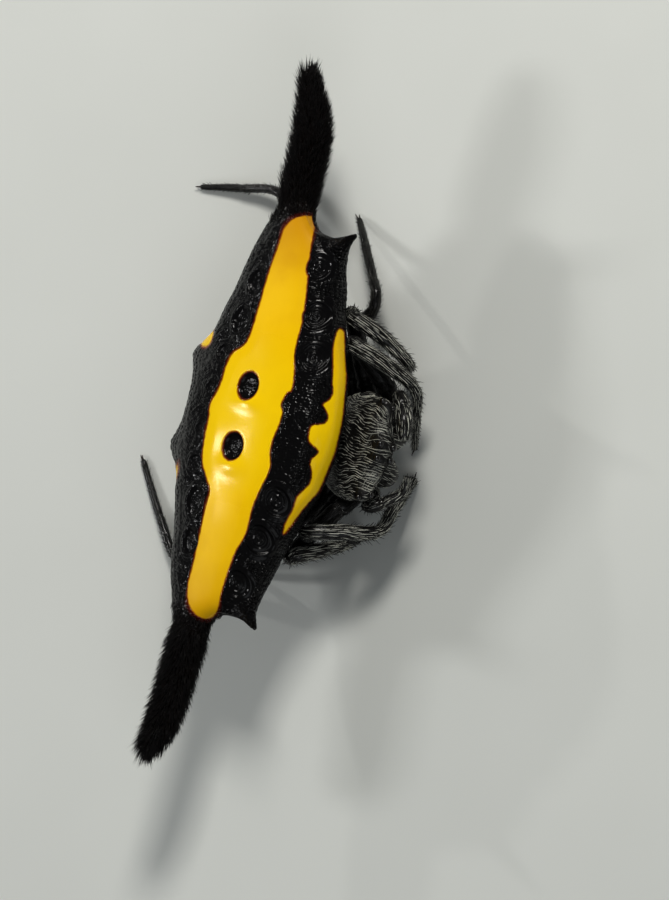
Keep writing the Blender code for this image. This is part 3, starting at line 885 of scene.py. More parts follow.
def waves_round_pits(pitch, blob_mm, sway):
    """The sine of 2 pi distance / pitch, swayed by noise, with the distance to a pit's edge."""
    return (outside * (2 * pi / pitch) + shell.noise(blob_mm) * sway).sine()


is_yellow = marks.between(-0.03, 0.03)
satin = side.between(2.0 * MM, 3.8 * MM) * 0.26 + 0.02
shell.roughness(0.15 + is_yellow * satin + shell.noise(0.25) * 0.06)
off_rim = shell.attribute("rim").between(0.55, 1.0)
scale_axes = {"X": x_place * (1 / SCALE_ALONG / MM), "Y": shell.attribute("row")}
lattice = shell.node("ShaderNodeCombineXYZ", {}, scale_axes)
scale_inputs = {"Vector": lattice, "Scale": 1.0, "Randomness": 0.60}
flat_cells = {"voronoi_dimensions": "2D"}
scale_far = shell.node("ShaderNodeTexVoronoi", flat_cells, scale_inputs, output="Distance")
on_scales = outside.between(-0.02, 0.06) * (1 - 0.86 * off_rim)
off_ridges = 1 - shell.attribute("ridge").between(0.002, 0.008)
scales = (1 - scale_far.between(0.0, SCALE_REACH)) * SCALE_HEIGHT * on_scales * off_ridges
fine_rings = waves_round_pits(FINE_PITCH, 0.5, 3.0) * FINE_HEIGHT * (1 - on_scales)
wrinkles = shell.noise(0.30, 2.0, shell.position((1.6, 0.8, 1.0))) * off_rim * WRINKLE_HEIGHT
ridges = waves_round_pits(RIDGE_PITCH, 0.60, 3.5) * shell.attribute("ridge") * RIDGE_SHARE
black_relief = (scales + fine_rings + wrinkles + ridges) * (1 - is_yellow)
shell.bump(black_relief + shell.noise(0.06, 2.0) * is_yellow * PORE_HEIGHT)
shell_nodes = [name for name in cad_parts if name.startswith(("abdomen", "spine_"))]
dress(abdomen, shell, "shell", *shell_nodes)

# %% [markdown]
# ## Limbs as tubes along a path
# A leg is a chain of hard tubes. Carrying a round section along a smooth path keeps it one
# closed skin; its radius follows the segments, thick in the femur and thin in the foot, and it
# narrows in a short neck at each joint. The section's two directions come from the plane that
# the leg bends in, so the tube never twists.

# %% Limb surface
NECK_HALF = 0.055
COLLAR_RISE = 0.07
COLLAR_BACK = 0.16
COLLAR_HALF = 0.10
END_CROWDING = 0.35


class Limb:
    """A tube through keys of (x, a, z, radius): a Catmull-Rom path with a round section."""

    def __init__(self, keys, necks=(), neck=0.16, steps=24):
        p = np.asarray(keys, float)
        long = np.vstack([2 * p[0] - p[1], p, 2 * p[-1] - p[-2]])
        curve = spline(long[:-3], long[1:-2], long[2:-1], long[3:], steps)
        curve = np.vstack([curve.reshape(-1, 4), p[-1:]])
        gaps = np.linalg.norm(np.diff(curve[:, :3], axis=0), axis=1)
        self.length = gaps.sum()
        self.at = np.concatenate([[0], np.cumsum(gaps)]) / self.length
        self.key_at = self.at[::steps]
        self.curve = curve
        self.tangent = unit(np.gradient(curve[:, :3], self.at, axis=0))
        centred = p[:, :3] - p[:, :3].mean(0)
        plane = np.linalg.svd(centred)[2][2]
        self.side = square_to(plane, self.tangent)
        self.up = np.cross(self.side, self.tangent)
        if self.up[:, 2].mean() < 0:
            self.side, self.up = -self.side, -self.up
        self.necks = [self.key_at[k] for k in necks]
        self.neck = neck

    def sample(self, table, s):
        """A column or vector of the path at the shares s of its length."""
        table = table.reshape(len(self.at), -1)
        found = [np.interp(s, self.at, table[:, k]) for k in range(table.shape[1])]
        return np.stack(found, -1)

    def axis(self, s):
        """Points of the centre line."""
        return self.sample(self.curve[:, :3], s)

    def radius(self, s):
        """Radius along the limb, with a narrow neck and a swollen collar at each joint."""
        r = self.sample(self.curve[:, 3], s)[..., 0]
        for place_s in self.necks:
            gap = (s - place_s) * self.length
            r = r * (1 - self.neck * np.exp(-((gap / NECK_HALF) ** 2)))
            r = r * (1 + COLLAR_RISE * np.exp(-(((gap + COLLAR_BACK) / COLLAR_HALF) ** 2)))
        end = np.clip((1 - s) * self.length / r, 0, 1)
        start = np.clip(s * self.length / r, 0, 1)
        return r * np.sqrt(1 - (1 - end) ** 2 + 1e-6) * np.sqrt(1 - (1 - start) ** 2 + 1e-6)

    def surface(self, s, turn):
        """Point = centre + radius (cos turn side + sin turn up)."""
        side, up = unit(self.sample(self.side, s)), unit(self.sample(self.up, s))
        out = np.cos(turn)[..., None] * side + np.sin(turn)[..., None] * up
        return self.axis(s) + self.radius(s)[..., None] * out

    def rings(self, count, sides):
        """The grid of its skin, with rows closer together at the two rounded ends."""
        even = np.linspace(0, 1, count)
        s = even - END_CROWDING * np.sin(2 * pi * even) / (2 * pi)
        return self.surface(*np.meshgrid(s, 2 * pi * np.arange(sides) / sides, indexing="ij"))


print("limbs ready")

# %% [markdown]
# ## Paths of the legs
# The keys are the same as those of the solids: hip, thigh, end of the femur, end of the
# patella, middle and end of the tibia, foot and tip. The skin is thinner than the solid by
# the depth of its hair, and slender in the last two segments. The foot ends where the path
# comes down to the floor.

# %% Legs
LEG_PATHS = {
    "leg_1_left": (
        (1.54, 3.00, -2.74), (2.02, 2.98, -2.42), (2.90, 2.28, -1.60), (2.90, 2.62, -1.16),
        (2.58, 3.38, -1.82), (2.12, 3.96, -2.68), (1.36, 3.84, -3.24), (0.30, 3.24, -4.28),
    ),
    "leg_1_right": (
        (-1.46, 2.86, -2.62), (-2.00, 2.72, -2.10), (-2.90, 2.32, -1.64), (-2.90, 2.62, -1.18),
        (-2.66, 3.34, -1.78), (-2.36, 3.96, -2.68), (-1.62, 3.84, -3.28), (-0.52, 3.46, -4.36),
    ),
    "leg_2_left": (
        (1.56, 2.26, -2.74), (2.02, 2.06, -2.60), (3.66, 1.66, -1.88), (3.72, 2.08, -1.36),
        (3.36, 2.84, -2.00), (2.80, 3.40, -2.78), (2.66, 2.96, -3.36), (2.56, 2.32, -4.08),
    ),
    "leg_2_right": (
        (-1.56, 2.26, -2.74), (-2.02, 2.10, -2.56), (-3.60, 1.70, -1.84), (-3.70, 2.10, -1.38),
        (-3.36, 2.46, -2.04), (-3.04, 2.64, -2.82), (-2.88, 2.50, -3.40), (-2.66, 2.28, -4.06),
    ),
    "leg_3_left": (
        (1.46, 1.50, -2.86), (1.90, 1.38, -2.80), (3.40, 1.34, -2.60), (4.10, 1.88, -2.36),
        (4.62, 1.90, -2.28), (5.02, 1.52, -2.44), (6.02, 0.40, -2.98), (6.74, -0.42, -3.38),
    ),
    "leg_3_right": (
        (-1.46, 1.54, -2.84), (-1.90, 1.34, -2.80), (-3.10, 0.95, -1.98), (-3.55, 0.72, -1.90),
        (-3.95, 0.48, -2.10), (-4.34, 0.20, -2.42), (-4.52, -0.36, -2.88), (-4.60, -0.92, -3.26),
    ),
    "leg_4_left": (
        (1.10, 0.86, -2.78), (1.48, 0.58, -2.66), (3.70, -0.34, -2.02), (4.30, -0.60, -1.96),
        (5.60, -1.50, -2.02), (6.86, -2.66, -2.12), (6.76, -4.20, -2.12), (6.50, -5.78, -2.04),
    ),
    "leg_4_right": (
        (-1.10, 0.86, -2.78), (-1.48, 0.52, -2.66), (-3.50, -0.20, -2.08), (-4.00, -0.50, -2.02),
        (-4.45, -1.70, -2.10), (-4.76, -3.08, -2.26), (-3.60, -4.20, -2.22), (-2.02, -5.38, -2.14),
    ),
}
FRONT_LEG_RADII = (0.27, 0.29, 0.245, 0.245, 0.235, 0.175, 0.135, 0.085)
REAR_LEG_RADII = (0.25, 0.26, 0.205, 0.175, 0.150, 0.135, 0.115, 0.075)
BENT_LEG_RADII = (0.21, 0.27, 0.245, 0.245, 0.235, 0.200, 0.185, 0.140)
FOOT_CLEARANCE = 0.01
FIRST_HIP = 1.30
KNEE = 3
LEG_NECKS = (2, 3, 4, 6, 7)


def height_over_floor(points):
    """Height of points over the floor in mm."""
    return place(points)[..., 2] / MM


def leg_limb(name, keys):
    """A leg with one more key inside the front body, where it is rooted. Its last keys are lifted
    straight towards the camera until the foot just clears the floor, so that it still ends at
    the same place in the picture."""
    radii = FRONT_LEG_RADII if name[4] in "12" else REAR_LEG_RADII
    radii = BENT_LEG_RADII if name == "leg_1_right" else radii
    points = np.column_stack([np.array(keys), radii])
    x, a, z, r = points[0]
    root = (x * 0.5, max(a, FIRST_HIP), z + 0.1, r * 0.8)
    points = np.vstack([root, points])
    rise = height_over_floor(TO_CAMERA) - height_over_floor(np.zeros(3))
    for k in (-2, -1):
        low = height_over_floor(points[k, :3]) - points[k, 3] - FOOT_CLEARANCE
        points[k, :3] += TO_CAMERA * max(0.0, -low / rise)
    return Limb(points, LEG_NECKS)


legs = {name: leg_limb(name, keys) for name, keys in LEG_PATHS.items()}
print("leg lengths (mm):", {name: round(float(leg.length), 1) for name, leg in legs.items()})

# %% [markdown]
# ## Palps and jaws
# Between the front legs and the jaws sit the two palps, short feelers that curl in front of
# the face. The jaws hang from the face as two stout barrels, each with a curved fang folded
# against its inner side.

# %% Palps, chelicerae and fangs
PALP_KEYS = {
    "pedipalp_left": (
        (0.55, 3.02, -2.62, 0.18), (1.32, 3.50, -2.66, 0.16), (1.60, 3.70, -2.46, 0.18),
        (1.76, 3.92, -2.16, 0.22), (1.44, 4.23, -2.06, 0.26), (0.98, 4.55, -1.94, 0.25),
        (0.44, 4.62, -2.02, 0.15),
    ),
    "pedipalp_right": (
        (-0.55, 3.02, -2.62, 0.18), (-1.32, 3.50, -2.66, 0.17), (-1.54, 3.66, -2.38, 0.19),
        (-1.70, 3.88, -2.06, 0.20), (-1.50, 4.20, -2.28, 0.18), (-1.04, 4.60, -2.58, 0.16),
        (-0.50, 4.76, -2.44, 0.10),
    ),
}
CHELICERA_KEYS = (
    (0.56, 3.76, -1.62, 0.36), (0.58, 3.82, -1.94, 0.42), (0.60, 3.84, -2.18, 0.47),
    (0.59, 3.83, -2.46, 0.45), (0.54, 3.78, -2.72, 0.34), (0.46, 3.72, -2.94, 0.15),
)
FANG_KEYS = (
    (0.46, 3.74, -2.84, 0.090), (0.34, 3.68, -3.00, 0.075), (0.20, 3.56, -3.04, 0.050),
    (0.10, 3.44, -2.98, 0.014),
)


def on_side(keys, sign):
    """The keys on the animal's left (1) or mirrored to its right (-1)."""
    flipped = np.array(keys, float)
    flipped[:, 0] *= sign
    return flipped


SIDES = {"left": 1, "right": -1}
palps = {name: Limb(keys, (2, 3, 4)) for name, keys in PALP_KEYS.items()}
jaws = {name: Limb(on_side(CHELICERA_KEYS, sign)) for name, sign in SIDES.items()}
fangs = {name: Limb(on_side(FANG_KEYS, sign)) for name, sign in SIDES.items()}
print("palps:", len(palps), "jaws:", len(jaws))

# %% [markdown]
# ## The front body
# Carapace above and breast plate below are one grid, swept along the body from the stalk to
# the face. The skin is drawn out to a low mound under each eye, as the thorns are on the shell,
# so the four middle eyes share one hump and each pair of side eyes a knob.

# %% Prosoma surface
# Each row: a, half width, height of the margin, of the top and of the underside.
PROSOMA_ROWS = (
    (0.95, 0.42, -2.35, -2.02, -2.66),
    (1.30, 0.86, -2.25, -1.92, -2.88),
    (1.80, 1.24, -2.12, -1.76, -3.02),
    (2.40, 1.54, -1.98, -1.50, -3.05),
    (2.95, 1.68, -1.86, -1.26, -3.00),
    (3.14, 1.68, -1.80, -1.20, -2.86),
    (3.30, 1.68, -1.74, -1.16, -2.10),
    (3.70, 1.60, -1.66, -1.13, -1.92),
    (4.05, 1.36, -1.62, -1.22, -1.90),
    (4.28, 1.02, -1.64, -1.38, -1.90),
    (4.42, 0.62, -1.68, -1.52, -1.86),
    (4.46, 0.22, -1.70, -1.62, -1.78),
)
# Each eye on the left: its centre (x, a, z) and its radius.
EYES = {
    "eye_front_median": (0.20, 4.56, -1.68, 0.12),
    "eye_rear_median": (0.22, 4.39, -1.26, 0.12),
    "eye_front_lateral": (1.35, 4.25, -1.58, 0.10),
    "eye_rear_lateral": (1.50, 4.00, -1.34, 0.10),
}
MOUND_START = 3.4
MOUND_END = 4.45
MOUND_REACH = 0.36
EYE_SINK = 0.15
SKIN_INSET = 0.05
BACK_POWER = 0.85
UNDER_POWER = 1.6


def prosoma_form(a, turn):
    """The plain form: x = half width |cos|^p, z = margin + rise sin."""
    width, margin, top, bottom = np.moveaxis(smooth_curve(PROSOMA_ROWS, a), -1, 0)
    width, top, bottom = width - SKIN_INSET, top - SKIN_INSET, bottom + SKIN_INSET
    c, s = np.cos(turn), np.sin(turn)
    x = width * np.sign(c) * np.abs(c) ** np.where(s > 0, BACK_POWER, UNDER_POWER)
    z = margin + np.where(s > 0, top - margin, margin - bottom) * s
    return np.stack([x, a + 0 * x, z], -1)


def both_sides(eyes):
    """Centre and radius of each eye on the left and on the right."""
    return [(np.array([sign * x, a, z]), r) for x, a, z, r in eyes.values() for sign in (1, -1)]


def eye_mounds():
    """For each eye the nearest point of the plain form and the eye's centre, sunk a little."""
    along, round_it = np.linspace(MOUND_START, MOUND_END, 70), np.linspace(0, 2 * pi, 241)
    plain = prosoma_form(*np.meshgrid(along, round_it, indexing="ij")).reshape(-1, 3)
    mounds = []
    for centre, radius in both_sides(EYES):
        foot = plain[np.argmin(np.linalg.norm(plain - centre, axis=1))]
        mounds.append((foot, centre - EYE_SINK * radius * unit(centre - foot)))
    return mounds


MOUNDS = eye_mounds()


def prosoma_surface(a, turn):
    """The plain form, drawn out to every eye by (centre - foot) (1 - (d / reach)^2)^1.5."""
    points = prosoma_form(a, turn)
    moved = points.copy()
    for foot, centre in MOUNDS:
        far = np.linalg.norm(points - foot, axis=-1) / MOUND_REACH
        moved += (np.clip(1 - far**2, 0, 1) ** 1.5)[..., None] * (centre - foot)
    return moved


print("prosoma rows:", len(PROSOMA_ROWS))

# %% [markdown]
# ## Finish of the hairy skin
# Under the hair the skin is black and leathery, with a fine net of folds and a dull sheen on
# the raised parts.

# %% Skin finish
SKIN_BLACK = (0.006, 0.0055, 0.005)
SKIN_GREY = (0.013, 0.012, 0.011)


def leather(name, roughness, fold_mm):
    """A black cuticle with folds of about that size and greyer high spots."""
    made = Finish(name, Specular_IOR_Level=0.25, Coat_Weight=0.30, Coat_Roughness=0.16)
    made.colour(made.blend(made.noise(0.5, 3.0).between(0.4, 0.8), SKIN_BLACK, SKIN_GREY))
    made.roughness(roughness + made.noise(0.2) * 0.15)
    made.bump(made.cells(fold_mm) * -0.010 + made.noise(0.05, 3.0) * 0.004)
    return made


skin = leather("prosoma_skin", 0.34, 0.09)
leg_skin = leather("leg_skin", 0.26, 0.08)
print("skins:", skin.material.name, leg_skin.material.name)

# %% [markdown]
# ## Skins of the front body and the limbs
# Every skin stands for one CAD node, which it hides, and reaches as far as that node does less
# the depth of the hair. The stalk, a soft neck in life, joins the two halves and has no node.

# %% Skins of the front body and the limbs
PROSOMA_ROWS_OUT = 110
PROSOMA_SIDES = 120
STALK_KEYS = (
    (0, 1.16, -2.48, 0.30), (0, 1.32, -2.20, 0.34), (0, 1.42, -1.80, 0.36), (0, 1.46, -1.40, 0.40),
)

crowded = np.sin(np.linspace(0, pi / 2, PROSOMA_ROWS_OUT))
rows_a = PROSOMA_ROWS[0][0] + (PROSOMA_ROWS[-1][0] - PROSOMA_ROWS[0][0]) * crowded
turns = 2 * pi * np.arange(PROSOMA_SIDES) / PROSOMA_SIDES
prosoma_grid = prosoma_surface(*np.meshgrid(rows_a, turns, indexing="ij"))
dress(tube_piece("prosoma_skin_mesh", prosoma_grid), skin, "skin", "prosoma")
dress(tube_piece("pedicel", Limb(STALK_KEYS).rings(20, 24)), skin, "skin")
for name, limb in legs.items():
    dress(tube_piece(name + "_skin", limb.rings(150, 28)), leg_skin, "leg", name)
for name, limb in palps.items():
    dress(tube_piece(name + "_skin", limb.rings(80, 24)), leg_skin, "leg", name)
for name, limb in jaws.items():
    jaw = tube_piece("chelicera_skin_" + name, limb.rings(60, 32))
    dress(jaw, skin, "skin", "chelicera_" + name)
    dress(tube_piece("fang_" + name, fangs[name].rings(30, 16)), leg_skin, "leg")

# %% [markdown]
# ## Eyes
# Eight small polished lenses, four on the middle hump and a touching pair at each side. A
# sphere, sunk a little into the mound under it, reads as a lens in its socket.

# %% Eyes
POLE_GAP = 0.12
LENS_BLACK = (0.003, 0.0025, 0.0025)
LENS_BROWN = (0.007, 0.0045, 0.0035)


def ball(centre, radius, rows=16, sides=24):
    """A sphere as rings: radius sin(v) round the z axis, centre + radius cos(v) along it."""
    v = np.linspace(POLE_GAP, pi - POLE_GAP, rows)[:, None]
    u = 2 * pi * np.arange(sides)[None, :] / sides
    ring = np.stack([np.sin(v) * np.cos(u), np.sin(v) * np.sin(u), np.cos(v) + 0 * u], -1)
    return np.array(centre) + radius * ring


lens = Finish("eye_lens", Coat_Weight=0.6, Coat_Roughness=0.03)
cloud = lens.noise(0.15, 2.0)
lens.colour(lens.blend(cloud, LENS_BLACK, LENS_BROWN))
lens.roughness(0.05 + cloud * 0.05)
eye_nodes = [f"{name}_{side_name}" for name in EYES for side_name in SIDES]
for node, (centre, radius) in zip(eye_nodes, both_sides(EYES)):
    dress(tube_piece(node + "_lens", ball(centre, radius)), lens, "eye", node)

# %% [markdown]
# ## Hair as solid strands
# Hair that has to survive an export is real mesh. A strand is a closed three-sided spike
# along a short centre line; thousands of them are computed together as one array. Each strand
# also gets a tiny patch on the map named OFBake, at the place of its root on the skin's own
# unwrap, so that a bake gives it one clean colour.

# %% Strands
CORNERS = np.array([(-1.0, -0.5), (1.0, -0.5), (0.0, 1.0)])
PATCH_SIZE = 0.003
MAP_MARGIN = 0.02
MAP_SPAN = 0.95


def strand_faces(k):
    """Triangles of one spike with k - 1 rings of three corners and a tip: its closed foot, two
    triangles for each side of each ring, and three triangles at the tip."""
    faces = [(0, 2, 1)]
    for row in range(k - 2):
        for j in range(3):
            i, after = 3 * row + j, 3 * row + (j + 1) % 3
            faces += [(i, after, after + 3), (i, after + 3, i + 3)]
    last = 3 * (k - 2)
    return np.array(faces + [(last + j, last + (j + 1) % 3, last + 3) for j in range(3)])


def strands(name, paths, widths, flat, thickness, root_map, tint):
    """Spikes along paths (n, k, 3): the corners are set out by the half widths (n, k) along flat
    (n, k, 3), and by thickness times that across it."""
    n, k = paths.shape[:2]
    tangent = unit(np.gradient(paths, axis=1))
    flat = square_to(flat, tangent)[:, :-1, None, :]
    up = np.cross(tangent[:, :-1, None, :], flat)
    spread = CORNERS[:, 0, None] * flat + thickness * CORNERS[:, 1, None] * up
    rings = paths[:, :-1, None, :] + widths[:, :-1, None, None] * spread
    points = np.concatenate([rings.reshape(n, -1, 3), paths[:, -1:, :]], axis=1)
    faces, per = strand_faces(k), points.shape[1]
    triangles = (np.arange(n)[:, None, None] * per + faces[None]).reshape(-1, 3)
    along = np.minimum(np.arange(per) // 3, k - 1) / (k - 1)
    patch = np.stack([along, (np.arange(per) % 3) / 2], -1) * PATCH_SIZE
    corner_uv = (root_map[:, None, :] + patch[None])[:, faces.ravel()].reshape(-1, 2)
    numbers = {"tint": np.repeat(tint, per), "along": np.tile(along, n)}
    no_quads = np.zeros((0, 4), int)
    return mesh_piece(name, points.reshape(-1, 3), no_quads, triangles, numbers, corner_uv, "OFBake")


def on_map(along, turn):
    """Places of the roots on the map, from their share along the skin and their turn round it."""
    return MAP_MARGIN + MAP_SPAN * np.stack([along, (turn % (2 * pi)) / (2 * pi)], -1)


def surface_normals(surface, u, v, step_u, step_v, inside):
    """Unit normals of a surface function by small differences, turned away from inside."""
    du = surface(u + step_u, v) - surface(u - step_u, v)
    dv = surface(u, v + step_v) - surface(u, v - step_v)
    normal = unit(np.cross(du, dv))
    away = np.sum(normal * (surface(u, v) - inside), -1, keepdims=True)
    return normal * np.where(away < 0, -1, 1)


print("faces of a bristle:", len(strand_faces(4)))

# %% [markdown]
# ## Finishes of the hair
# Two sorts of hair grow on the animal. The bristles of the spines and the long hairs of the
# legs are black with a brown glow. The fine hair that lies on the front body and the front
# legs is silvery: grey, glossy and brighter towards its tip. A strand's own number, its tint,
# says how pale it is, so one material does for them all.

# %% Hair finishes
BRISTLE_BLACK = (0.0030, 0.0025, 0.0028)
BRISTLE_BROWN = (0.0085, 0.0045, 0.0035)
HAIR_BLACK = (0.004, 0.0038, 0.0036)
HAIR_SILVER = (0.88, 0.88, 0.78)

bristle = Finish("bristle_black", Specular_IOR_Level=0.25)
warm = bristle.attribute("tint")
bristle.colour(bristle.blend(warm, BRISTLE_BLACK, BRISTLE_BROWN))
bristle.roughness(0.42 - warm * 0.1)
silver = Finish("hair_silver", Specular_IOR_Level=0.75)
pale = silver.attribute("tint")
shade = pale * (0.55 + silver.attribute("along") * 0.45)
silver.colour(silver.blend(shade, HAIR_BLACK, HAIR_SILVER))
silver.roughness(0.24 + 0.12 * pale)
print("hair finishes:", bristle.material.name, silver.material.name)

# %% [markdown]
# ## Bristles of the side spines
# Each long spine is a brush. The bristles stand all round its core, 40 degrees off it and
# towards its tip, and are a third of a millimetre long; at the tip they close into a tuft.
# Their roots follow a golden-angle spiral, which spreads them evenly with no visible rows.

# %% Side spine bristles
BRISTLES_ON_SPINE = 5200
BRISTLE_LENGTH = 0.33
BRISTLE_HALF_WIDTH = 0.014
BRISTLE_LEAN_DEG = 40
BRISTLE_SINK = 0.02
BRUSH_START = 5.95
BRUSH_CROWDING = 0.92
TIP_INSET = 0.03
TUFT_REACH = 0.9
TUFT_LONGER = 0.35
REAR_LONGER = 0.30
OFF_YELLOW = -0.05
GOLDEN = pi * (3 - 5**0.5)


def bristle_lines(root, normal, along, way, size, t, curl):
    """Centre lines root + size (t way + curl t^2 along), from a little under the skin."""
    t = np.array(t)[None, :, None]
    line = t * way[:, None, :] + curl * t**2 * along[:, None, :]
    return root[:, None, :] - BRISTLE_SINK * normal[:, None, :] + size[:, None, None] * line


def spine_bristles(name, sign, tip_x, seed):
    """Bristles from the foot of a spine out to its tip, closer together and longer there."""
    rng = np.random.default_rng(seed)
    share = (np.arange(BRISTLES_ON_SPINE) + 0.5) / BRISTLES_ON_SPINE
    x = sign * (BRUSH_START + (abs(tip_x) - TIP_INSET - BRUSH_START) * share**BRUSH_CROWDING)
    turn = (np.arange(BRISTLES_ON_SPINE) * GOLDEN + rng.uniform(-0.2, 0.2, x.shape)) % (2 * pi)
    on_black = yellow_distance(abdomen_form(x, turn), turn, NO_PIT + 0 * x) < OFF_YELLOW
    share, x, turn = share[on_black], x[on_black], turn[on_black]
    root = abdomen_form(x, turn)
    axis = (root + abdomen_form(x, turn + pi)) / 2
    normal = surface_normals(abdomen_form, x, turn, 0.03, 0.05, axis)
    along = square_to(unit(np.array([sign, 0.0, 0.12])), normal)
    side_way = np.cross(normal, along)
    wave = rng.normal(0, 0.16, (len(x), 1)) * side_way
    lean = np.radians(BRISTLE_LEAN_DEG + rng.normal(0, 7, len(x)))[:, None]
    way = unit(np.sin(lean) * normal + np.cos(lean) * along + wave)
    size = BRISTLE_LENGTH * (0.45 + 0.55 * eased(np.abs(x), 6.1, 6.9)) * rng.uniform(0.7, 1.2, len(x))
    size *= 1 + TUFT_LONGER * eased(np.abs(x), abs(tip_x) - TUFT_REACH, abs(tip_x))
    size *= 1 + REAR_LONGER * eased(-np.cos(turn), 0.0, 0.9)
    paths = bristle_lines(root, normal, along, way, size, (0, 0.35, 0.7, 1.0), 0.22)
    widths = BRISTLE_HALF_WIDTH * rng.uniform(0.7, 1.2, (len(x), 1)) * (1.0, 0.9, 0.6, 0.0)
    tint = rng.uniform(0, 1, len(x)) ** 2
    brush = strands(name, paths, widths, side_way[:, None, :], 0.7, on_map(share, turn), tint)
    return dress(brush, bristle, "bristle")


spine_bristles("bristles_spine_left", 1, SPINE_LEFT[-1][0], 21)
spine_bristles("bristles_spine_right", -1, SPINE_RIGHT[-1][0], 22)

# %% [markdown]
# ## Hair that follows a surface
# Flat hair could be instanced by a particle system, but that doesn't bend with the skin. Here
# each point of a strand is a point of the surface function itself, raised by a little more
# towards the tip, so that the strand hugs the skin over every bend.

# %% Combed hair
HAIR_SINK = 0.01
FLOOR_GAP = 0.02
EYE_CLEARANCE = 1.08


def clear_of_eyes(paths):
    """Which paths keep out of the eyes' lenses."""
    keep = np.ones(len(paths), bool)
    for centre, radius in both_sides(EYES):
        keep &= np.linalg.norm(paths - centre, axis=-1).min(axis=1) > radius * EYE_CLEARANCE
    return keep


def combed(name, surface, places, lift, half_width, seed, pale, inside, slot, thickness=0.9):
    """Strands over the places u, v (n, k) of a surface, sunk a little at the root and lifted at
    the tip by lift t^1.5, with their own share of pale from 0 to 1."""
    rng = np.random.default_rng(seed)
    u, v = places
    t = np.linspace(0, 1, u.shape[1])[None, :]
    normal = surface_normals(surface, u, v, 0.01, 0.03, inside(u, v))
    paths = surface(u, v) + normal * (lift[:, None] * t**1.5 - HAIR_SINK)[..., None]
    flat = np.cross(normal, unit(np.gradient(paths, axis=1)))
    keep = clear_of_eyes(paths) & (height_over_floor(paths).min(axis=1) > FLOOR_GAP)
    widths = half_width[:, None] * np.concatenate([[0.75], np.ones(u.shape[1] - 3), [0.8, 0.0]])
    root_map = on_map((u[:, 0] - u[:, 0].min()) / np.ptp(u[:, 0]), v[:, 0])
    tint = np.clip(pale * rng.uniform(0.6, 1.15, len(u)), 0, 1)
    made = strands(name, paths[keep], widths[keep], flat[keep], thickness, root_map[keep], tint[keep])
    return dress(made, silver, slot)


print("clearance over the floor (mm):", FLOOR_GAP)

# %% [markdown]
# ## Silver hair of the carapace
# On the carapace the hair is combed forwards and lies flat in long waves, so that the light
# picks out wavy silver lines with dark lines between them, like a fingerprint. Random roots
# would blur the lines. Rows at an even pitch, which all share one slow wave, keep them.

# %% Carapace hair
CARAPACE_PITCH = 0.104
CARAPACE_STEP = 0.20
CARAPACE_HAIR_LENGTH = 0.42
CARAPACE_ROWS_END = 2.45
CARAPACE_REAR = 1.0
CARAPACE_FRONT = 4.43
ROUNDING_START = 3.0
SHORTEST = 0.08
UNDER_Z = -1.9
BRIGHT_SHARE = 0.88
# Waves of the rows: mm sideways, radians for each mm forwards and sideways, and the start.
SWINGS = (
    (0.060, 2.6, 2.1, 0.5),
    (0.036, 4.4, -2.3, 2.0),
    (0.030, 7.0, 5.2, 0.0),
    (0.015, 13.0, -4.0, 0.0),
)


def half_width_at(a):
    """Half the width of the front body."""
    return smooth_curve(PROSOMA_ROWS, a)[..., 0] - SKIN_INSET


def carapace_top(a, x):
    """A point of the carapace from a and x: the turn follows from cos = (x / width)^(1 / p)."""
    share = np.clip(x / half_width_at(a), -0.999, 0.999)
    return prosoma_surface(a, np.arccos(np.sign(share) * np.abs(share) ** (1 / BACK_POWER)))


def under_carapace(a, x):
    """Points of the middle line well under the carapace."""
    return np.stack([0 * a, a, np.full(a.shape, UNDER_Z)], -1)


def carapace_strands(rng):
    """Start, end and x of each strand: rows at an even pitch over the back and down its flanks,
    strands end to end in each, and none beyond the rounded front edge."""
    half = PROSOMA_ROWS[4][1] - SKIN_INSET
    run = np.arange(-CARAPACE_ROWS_END, CARAPACE_ROWS_END + 0.01, CARAPACE_PITCH)
    rows = half * np.sin(np.clip(run / half, -1.5, 1.5))
    steps = np.arange(CARAPACE_REAR, CARAPACE_FRONT, CARAPACE_STEP)
    row, step = np.meshgrid(rows, steps, indexing="ij")
    a = (step + rng.uniform(-0.10, 0.10, step.shape)).ravel()
    x = (row + rng.normal(0, 0.006, row.shape)).ravel()
    reach = CARAPACE_HAIR_LENGTH * rng.uniform(0.6, 1.2, a.shape)
    front_a = np.linspace(ROUNDING_START, CARAPACE_FRONT, 60)
    limit = np.interp(np.abs(x) * 0.82 + 0.08, half_width_at(front_a)[::-1], front_a[::-1])
    end_a = np.minimum(a + reach, limit)
    long_enough = end_a > a + SHORTEST
    return a[long_enough], end_a[long_enough], x[long_enough]


def carapace_hair():
    """The rows, swung together by the sum of size sin(p a + q x + start), closing in slightly
    towards the face."""
    rng = np.random.default_rng(31)
    a, end_a, x = carapace_strands(rng)
    at = a[:, None] + (end_a - a)[:, None] * np.linspace(0, 1, 8)[None, :]
    across = x[:, None] + rng.normal(0, 0.05, (len(a), 1)) * (at - a[:, None])
    swing = sum(size * np.sin(p * at + q * across + start) for size, p, q, start in SWINGS)
    swung = (across + swing - 0.05 * (at - 2.6)) * (1 - 0.20 * eased(at, 3.3, 4.5))
    limit = 0.985 * half_width_at(at)
    bright = np.where(rng.random(len(at)) < BRIGHT_SHARE, 0.85, 0.02)
    lift, half_width = rng.uniform(0.015, 0.045, len(at)), rng.uniform(0.0095, 0.0140, len(at))
    places = at, np.clip(swung, -limit, limit)
    combed("hair_carapace", carapace_top, places, lift, half_width, 32, bright, under_carapace, "skin")


carapace_hair()

# %% [markdown]
# ## Hair of the face and the fringe
# The face is too steep for rows seen from above. Short hair is strewn over it and round the
# eyes, and a fringe hangs over the side edges of the carapace, which hides its hard rim.

